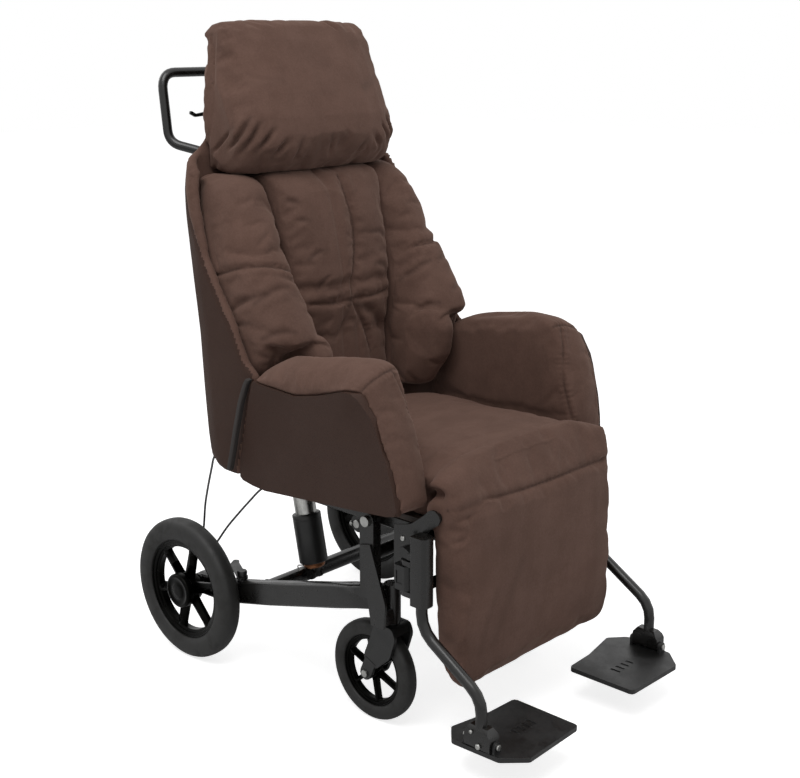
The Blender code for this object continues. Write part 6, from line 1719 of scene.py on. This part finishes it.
@dataclass
class Upholstery:
    """The microfibre cushions: head, back centre, back bolsters, arms, and the seat and calf cover."""

    fine: float = 0.005
    broad: float = 0.006

    def headrest(self, shop: Workshop) -> None:
        """The head cushion, folded over the shell's top and gathered at its lower corners."""
        gathers = []
        for s, spread in ((-1, 1.0), (1, 0.85)):
            fans = (((0.205, 0.322, 1.042), (0.205, 0.288, 1.069), (0.210, 0.248, 1.100)),
                    ((0.205, 0.279, 1.050), (0.208, 0.234, 1.085), (0.186, 0.226, 1.120)),
                    ((0.209, 0.234, 1.053), (0.189, 0.222, 1.081), (0.166, 0.217, 1.114)),
                    ((0.182, 0.218, 1.056), (0.160, 0.209, 1.080), (0.140, 0.206, 1.102)),
                    ((0.150, 0.212, 1.042), (0.132, 0.205, 1.062), (0.112, 0.202, 1.080)))
            for fan in fans:
                gathers.append(Stroke(tuple((x * s, y, z) for x, y, z in fan), 0.0085 * spread, 0.0060, 0.0045, 0.011, fade=0.030))
        folds = tuple(gathers) + (
            Stroke(((-0.003, 0.193, 1.022), (-0.003, 0.189, 1.045), (-0.009, 0.188, 1.079)), 0.0035, 0.006, 0.0018, 0.012, fade=0.025),
            Stroke(((-0.098, 0.202, 1.024), (-0.092, 0.194, 1.050), (-0.086, 0.190, 1.080)), 0.0040, 0.006, 0.0020, 0.013, fade=0.025),
            Stroke(((0.072, 0.196, 1.024), (0.080, 0.192, 1.046), (0.092, 0.192, 1.066)), 0.0035, 0.006, 0.0018, 0.012, fade=0.022),
            Stroke(((0.069, 0.300, 1.299), (0.081, 0.281, 1.287), (0.094, 0.270, 1.271)), 0.0040, 0.006, 0.0025, 0.011, fade=0.014),
            Stroke(((-0.205, 0.240, 1.215), (-0.160, 0.222, 1.196), (-0.105, 0.214, 1.190)), 0.0022, 0.012, 0.0012, 0.022, fade=0.04),
            Stroke(((0.198, 0.250, 1.200), (0.150, 0.222, 1.180), (0.110, 0.214, 1.168)), 0.0022, 0.012, 0.0012, 0.022, fade=0.04),
        )
        SoftForm("headrest_cushion", ("headrest",), self.fine, shop.finishes.microfibre, (), folds, slack=0.03, cap=0.009,
                 fill=0.75).build(shop, "back", Slot.MICROFIBRE)

    def centre(self, shop: Workshop) -> None:
        """The back's centre cushion, with its upright creases, its seam at the waist and the soft valleys under it."""
        seams = (
            Stroke(((-0.112, 0.166, 0.757), (-0.050, 0.146, 0.752), (0.030, 0.143, 0.751), (0.132, 0.158, 0.757)), 0.0040, 0.0042, 0.0008,
                   0.014, gather=0.0009, spacing=0.023, reach=0.018, fade=0.012),
            Stroke(((0.022, 0.206, 1.002), (0.024, 0.192, 0.975), (0.030, 0.175, 0.924), (0.029, 0.164, 0.874), (0.020, 0.156, 0.825),
                    (0.000, 0.145, 0.757)), 0.0055, 0.0060, 0.0016, 0.017, gather=0.0010, spacing=0.024, reach=0.020, fade=0.012),
            Stroke(((0.004, 0.146, 0.750), (0.026, 0.151, 0.715), (0.045, 0.152, 0.680), (0.058, 0.148, 0.632)), 0.0040, 0.0040, 0.0014,
                   0.012, gather=0.0008, spacing=0.016, reach=0.014, fade=0.012),
        )
        folds = (
            Stroke(((0.000, 0.146, 0.748), (-0.026, 0.155, 0.702), (-0.064, 0.152, 0.661)), 0.0038, 0.010, 0.0022, 0.020, fade=0.025),
            Stroke(((0.020, 0.148, 0.742), (0.055, 0.149, 0.721), (0.117, 0.164, 0.667)), 0.0040, 0.010, 0.0022, 0.020, fade=0.025),
            Stroke(((-0.104, 0.160, 0.845), (-0.082, 0.155, 0.855), (-0.059, 0.155, 0.859)), 0.0028, 0.006, 0.0016, 0.012, fade=0.016),
            Stroke(((-0.092, 0.150, 0.783), (-0.074, 0.149, 0.800), (-0.054, 0.150, 0.815)), 0.0028, 0.006, 0.0016, 0.012, fade=0.016),
            Stroke(((-0.127, 0.175, 0.919), (-0.108, 0.172, 0.921), (-0.089, 0.172, 0.920)), 0.0024, 0.006, 0.0014, 0.012, fade=0.014),
            Stroke(((-0.137, 0.192, 0.961), (-0.120, 0.187, 0.957), (-0.103, 0.186, 0.955)), 0.0024, 0.006, 0.0014, 0.012, fade=0.014),
            Stroke(((0.120, 0.170, 0.870), (0.098, 0.162, 0.878), (0.074, 0.162, 0.880)), 0.0026, 0.007, 0.0014, 0.013, fade=0.016),
            Stroke(((0.118, 0.160, 0.800), (0.094, 0.152, 0.812), (0.070, 0.152, 0.816)), 0.0026, 0.007, 0.0014, 0.013, fade=0.016),
        )
        SoftForm("back_centre_pad", ("back_centre_cushion",), self.fine, shop.finishes.microfibre, seams, folds, slack=0.03, cap=0.009,
                 fill=0.7).build(shop, "back", Slot.MICROFIBRE)

    def bolster(self, side: Side, shop: Workshop) -> None:
        """One side bolster of the back, sewn across under the shoulder and creased below."""
        s = side.sign
        if side is Side.RIGHT:
            seam = ((0.280, 0.282, 0.800), (0.284, 0.250, 0.820), (0.283, 0.201, 0.838), (0.272, 0.170, 0.848), (0.254, 0.148, 0.852),
                    (0.229, 0.134, 0.851), (0.196, 0.129, 0.842), (0.160, 0.142, 0.820))
            creases = (
                (((0.288, 0.193, 0.754), (0.287, 0.165, 0.781), (0.271, 0.131, 0.798)), 0.0040),
                (((0.274, 0.129, 0.786), (0.250, 0.112, 0.804), (0.211, 0.108, 0.812)), 0.0042),
                (((0.281, 0.100, 0.726), (0.261, 0.075, 0.736), (0.236, 0.057, 0.736)), 0.0032),
                (((0.290, 0.215, 0.712), (0.292, 0.170, 0.738), (0.284, 0.135, 0.750)), 0.0030),
                (((0.196, 0.096, 0.742), (0.172, 0.101, 0.757), (0.150, 0.118, 0.764)), 0.0028),
                (((0.230, 0.124, 0.832), (0.200, 0.120, 0.822), (0.176, 0.126, 0.806)), 0.0026),
                (((0.252, 0.148, 0.886), (0.224, 0.146, 0.902), (0.190, 0.158, 0.914)), 0.0022),
                (((0.262, 0.205, 0.968), (0.232, 0.186, 0.974), (0.200, 0.186, 0.980)), 0.0022),
            )
        else:
            seam = ((0.282, 0.262, 0.802), (0.283, 0.205, 0.828), (0.272, 0.170, 0.842), (0.250, 0.140, 0.848), (0.225, 0.129, 0.846),
                    (0.197, 0.130, 0.845), (0.172, 0.140, 0.840), (0.150, 0.150, 0.832))
            creases = (
                (((0.146, 0.148, 0.772), (0.167, 0.124, 0.794), (0.197, 0.109, 0.813)), 0.0042),
                (((0.139, 0.120, 0.690), (0.160, 0.093, 0.718), (0.180, 0.066, 0.731)), 0.0036),
                (((0.214, 0.070, 0.744), (0.240, 0.070, 0.756), (0.266, 0.090, 0.762)), 0.0030),
                (((0.210, 0.108, 0.800), (0.238, 0.110, 0.812), (0.262, 0.124, 0.812)), 0.0030),
                (((0.152, 0.168, 0.900), (0.180, 0.152, 0.912), (0.210, 0.150, 0.916)), 0.0022),
                (((0.262, 0.205, 0.972), (0.228, 0.184, 0.978), (0.196, 0.184, 0.984)), 0.0022),
            )
        seams = (Stroke(tuple((x * s, y, z) for x, y, z in seam), 0.0050, 0.0045, 0.0012, 0.013, gather=0.0012, spacing=0.021,
                        reach=0.018, fade=0.050),)
        folds = tuple(Stroke(tuple((x * s, y, z) for x, y, z in line), depth, 0.0065, depth * 0.6, 0.014, fade=0.024)
                      for line, depth in creases)
        SoftForm(f"back_bolster_{side.word}_pad", (f"back_bolster_{side.word}",), self.fine, shop.finishes.microfibre, seams, folds,
                 slack=0.035, cap=0.010, smoothing=10, fill=0.7).build(shop, "back", Slot.MICROFIBRE, self.bolster_foot(s))

    @staticmethod
    def bolster_foot(sign: float) -> bmesh.types.BMesh:
        """The bolster's foot behind the arm's cover, clear of it at rest and when the back is laid back."""
        bm = bmesh.new()
        for start, width, front in ((0.210, 0.040, 0.058), (0.250, 0.0385, 0.098)):
            outline = ((front, 0.724), (0.236, 0.724), (0.236, 0.570), (0.147, 0.570), (0.128, 0.622), (0.112, 0.658),
                       (max(front, 0.086), 0.697), (front, 0.704))
            Meshes.add(bm, Meshes.slab([(start * sign, y, z) for y, z in outline], (width * sign, 0, 0), 0.0))
        return bm

    def arm(self, side: Side, shop: Workshop) -> None:
        """One arm's padded cover, with its top seam, front seam and small puckers."""
        s = side.sign
        lines = (
            (((0.322, -0.190, 0.682), (0.300, -0.194, 0.696), (0.262, -0.195, 0.708), (0.226, -0.190, 0.708)), 0.0030),
            (((0.247, -0.194, 0.710), (0.239, -0.209, 0.683), (0.226, -0.221, 0.612), (0.225, -0.232, 0.571), (0.226, -0.250, 0.520)), 0.0022),
        )
        seams = tuple(Stroke(tuple((x * s, y, z) for x, y, z in line), depth, 0.0032, 0.0012, 0.009, gather=0.0009, spacing=0.011,
                             reach=0.012, fade=0.012) for line, depth in lines)
        folds = tuple(Stroke(((0.310 * s, -0.205, z), (0.290 * s, -0.216, z + 0.004), (0.262 * s, -0.222, z + 0.002)), 0.0016, 0.007,
                             0.0010, 0.014, fade=0.020) for z in (0.640, 0.590, 0.535))
        SoftForm(f"arm_cover_{side.word}", (f"arm_pad_{side.word}",), self.fine, shop.finishes.microfibre, seams, folds, slack=0.015,
                 cap=0.006, fill=0.8).build(shop, "seat", Slot.MICROFIBRE)

    def seat_and_calf(self, shop: Workshop) -> None:
        """The seat's cover, which runs down over the calf pad in one piece, with a seam under the knee."""
        seams = (
            Stroke(((-0.236, -0.318, 0.478), (-0.170, -0.328, 0.478), (-0.112, -0.333, 0.476), (-0.052, -0.336, 0.473),
                    (0.032, -0.337, 0.471), (0.112, -0.336, 0.470), (0.203, -0.332, 0.468), (0.236, -0.320, 0.467)), 0.0032, 0.0035,
                   0.0018, 0.012, gather=0.0006, spacing=0.027, reach=0.016, fade=0.030),
        )
        folds = (
            Stroke(((-0.203, -0.333, 0.465), (-0.204, -0.338, 0.444), (-0.212, -0.339, 0.427), (-0.233, -0.334, 0.421),
                    (-0.239, -0.316, 0.413)), 0.0030, 0.005, 0.0018, 0.011, fade=0.02),
            Stroke(((-0.147, -0.349, 0.213), (-0.112, -0.352, 0.281), (-0.073, -0.352, 0.347)), 0.0024, 0.013, 0.0016, 0.026, fade=0.05),
            Stroke(((-0.183, -0.346, 0.206), (-0.167, -0.351, 0.260), (-0.141, -0.352, 0.310)), 0.0024, 0.011, 0.0016, 0.022, fade=0.04),
        )
        cover = SoftForm("seat_and_calf_cover", ("seat_cushion", "calf_pad"), self.broad, shop.finishes.microfibre, seams, folds,
                         slack=0.02, cap=0.010, fill=0.7)
        knee = ((-0.3100, 0.5320), (-0.3195, 0.5280), (-0.3240, 0.5150), (-0.3290, 0.5000), (-0.3350, 0.4800), (-0.3340, 0.4660),
                (-0.3100, 0.4700), (-0.3040, 0.4920), (-0.3140, 0.5110))
        filler = Meshes.slab([(-0.2375, y, z) for y, z in knee], (0.475, 0, 0), 0.0)
        self.part_at_knee(cover.make(shop, filler), shop)

    def part_at_knee(self, whole: bpy.types.Object, shop: Workshop) -> None:
        """Parts the cover into the seat's, the calf's and the fold between them, which bends at the hinge.

        Args:
            whole: the cover in one piece, which is removed.
            shop: the frame, the finishes and the piece list.
        """
        start, end = Vector((0, -0.3148, 0.5110)), Vector((0, -0.3057, 0.4939))
        hinge, front, floor, slot_radius = Vector((0, -0.297, 0.462)), -0.3015, 0.4385, 0.0435
        across = end - start
        bm = bmesh.new()
        bm.from_mesh(whole.data)
        thread_and_shade = bm.verts.layers.float[THREAD_AND_FOLD_SHADE]
        for place in (start, end):
            bmesh.ops.bisect_plane(bm, geom=bm.verts[:] + bm.edges[:] + bm.faces[:], plane_co=place, plane_no=across, dist=1e-5)
        bm.normal_update()
        chosen: dict[str, list[bmesh.types.BMFace]] = {"seat": [], "fold": [], "calf": []}
        for face in bm.faces:
            middle = face.calc_center_median()
            middle.x = 0
            share = (middle - start).dot(across) / across.length_squared
            if middle.y < front:
                part = "seat" if share < 0 else "calf" if share > 1 else "fold"
            else:
                part = "calf" if middle.z < floor or (middle - hinge).length < slot_radius else "seat"
            chosen[part].append(face)
        for name, nodes in (("seat", ("seat_cushion",)), ("fold", ()), ("calf", ("calf_pad",))):
            mesh = bpy.data.meshes.new(f"{name}_cover")
            index: dict[bmesh.types.BMVert, int] = {}
            for face in chosen[name]:
                for vert in face.verts:
                    index.setdefault(vert, len(index))
            mesh.from_pydata([v.co[:] for v in index], [], [[index[v] for v in face.verts] for face in chosen[name]])
            mesh.shade_smooth()
            mesh.normals_split_custom_set_from_vertices([v.normal[:] for v in index])
            # Each part keeps the darkening of dark seam thread and painted fold shade.
            mesh.attributes.new(THREAD_AND_FOLD_SHADE, "FLOAT", "POINT").data.foreach_set("value", [v[thread_and_shade] for v in index])
            mesh.materials.append(shop.finishes.microfibre)
            piece = bpy.data.objects.new({"seat": "seat_cover", "fold": "knee_fold", "calf": "calf_cover"}[name], mesh)
            bpy.context.scene.collection.objects.link(piece)
            if name == "fold":
                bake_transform(piece, "seat", "leg_rest", start=start, end=end)
                shop.pieces.append(piece.name)
            else:
                shop.fit(piece, "seat" if name == "seat" else "leg_rest", Slot.MICROFIBRE, *nodes)
        bm.free()
        bpy.data.objects.remove(whole)

    def build(self, shop: Workshop) -> None:
        """Builds every cushion.

        Args:
            shop: the frame, the finishes and the piece list.
        """
        self.headrest(shop)
        self.centre(shop)
        for side in Side:
            self.bolster(side, shop)
            self.arm(side, shop)
        self.seat_and_calf(shop)


@dataclass
class Studio:
    """The camera, the soft lights, the white surroundings and the floor."""

    floor_half: float = 14.0
    key: float = 66.0
    fill: float = 6.0
    back: float = 16.0

    def camera(self) -> None:
        """Puts the camera where the photograph was taken from."""
        data = bpy.data.cameras.new("studio_camera")
        data.lens = VIEW_LENS
        data.sensor_width = 36.0
        data.clip_end = 60.0
        holder = bpy.data.objects.new("studio_camera", data)
        az, el = math.radians(VIEW_AZIMUTH), math.radians(VIEW_ELEVATION)
        right = Vector((math.cos(az), math.sin(az), 0))
        back = Vector((math.sin(az) * math.cos(el), -math.cos(az) * math.cos(el), math.sin(el)))
        up = back.cross(right)
        turn = Matrix((right, up, back)).transposed().to_4x4()
        holder.matrix_world = Matrix.Translation(VIEW_EYE) @ turn
        bpy.context.scene.collection.objects.link(holder)
        bpy.context.scene.camera = holder

    def lamp(self, name: str, place: Point, aim: Point, size: float, power: float) -> None:
        """Adds one soft square lamp.

        Args:
            name: its name.
            place: where it stands.
            aim: what it points at.
            size: its side.
            power: its power in watts.
        """
        data = bpy.data.lights.new(name, "AREA")
        data.shape = "SQUARE"
        data.size = size
        data.energy = power
        holder = bpy.data.objects.new(name, data)
        holder.location = place
        holder.rotation_euler = (Vector(aim) - Vector(place)).to_track_quat("-Z", "Y").to_euler()
        bpy.context.scene.collection.objects.link(holder)

    def floor(self) -> None:
        """Adds the pale floor, which shows white to the camera and keeps the chair's shadow."""
        bm = bmesh.new()
        bmesh.ops.create_grid(bm, x_segments=1, y_segments=1, size=self.floor_half)
        material = bpy.data.materials.new("pale_floor")
        material.use_nodes = True
        tree = Tree(material.node_tree)
        shader = next(n for n in material.node_tree.nodes if n.type == "BSDF_PRINCIPLED")
        place = tree.add("TexCoord").outputs["Object"]
        mottle = tree.spread(tree.noise(place, 3.0, 3.0), 0.3, 0.7)
        tone = tree.blend(mottle, (0.80, 0.80, 0.80, 1), (0.84, 0.84, 0.84, 1))
        tree.tree.links.new(tone, shader.inputs["Base Color"])
        shader.inputs["Roughness"].default_value = 0.9
        shader.inputs["Specular IOR Level"].default_value = 0.1
        seen = tree.add("LightPath").outputs["Is Camera Ray"]
        tree.tree.links.new(tree.math("MULTIPLY", seen, 0.74), shader.inputs["Emission Strength"])
        shader.inputs["Emission Color"].default_value = (1, 1, 1, 1)
        Meshes.to_object(bm, "studio_floor", material)

    def surroundings(self) -> None:
        """Sets a world that lights softly and shows as white behind the chair."""
        world = bpy.data.worlds.new("white_room")
        world.use_nodes = True
        tree = Tree(world.node_tree)
        background = next(n for n in world.node_tree.nodes if n.type == "BACKGROUND")
        path = tree.add("LightPath").outputs
        seen = tree.math("MAXIMUM", path["Is Camera Ray"], path["Is Glossy Ray"])
        seen = tree.math("MAXIMUM", seen, path["Is Transmission Ray"])
        background.inputs["Color"].default_value = (1, 1, 1, 1)
        tree.tree.links.new(tree.spread(seen, 0.0, 1.0, 0.40, 1.0), background.inputs["Strength"])
        bpy.context.scene.world = world

    def build(self) -> None:
        """Builds the whole studio."""
        bpy.context.scene.view_settings.view_transform = "Standard"
        self.camera()
        self.lamp("key_lamp", (-1.3, -0.7, 3.5), (0.0, 0.1, 0.5), 2.2, self.key)
        self.lamp("fill_lamp", (2.6, -1.6, 1.8), (0.0, 0.0, 0.6), 2.4, self.fill)
        self.lamp("back_lamp", (-0.6, 2.8, 2.6), (0.0, 0.0, 0.9), 2.0, self.back)
        self.surroundings()
        self.floor()


def main() -> None:
    """Builds the chair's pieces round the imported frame, and the studio."""
    logging.basicConfig(level=logging.INFO, format="%(name)s: %(message)s")
    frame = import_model()
    shop = Workshop(frame, FinishSet())
    studio = Studio()
    studio.build()
    ReleaseCable().build(shop)
    for side in Side:
        RearWheel(side).build(shop)
        CasterWheel(side).build(shop)
        FootHanger(side).build(shop)
        ArmRest(side).build(shop)
        ReleaseGrip(side).build(shop)
    Chassis().build(shop)
    SeatUndercarriage().build(shop)
    BackShell().build(shop)
    Upholstery().build(shop)
    LOG.info("%d pieces", len(shop.pieces))


if __name__ == "__main__":
    main()
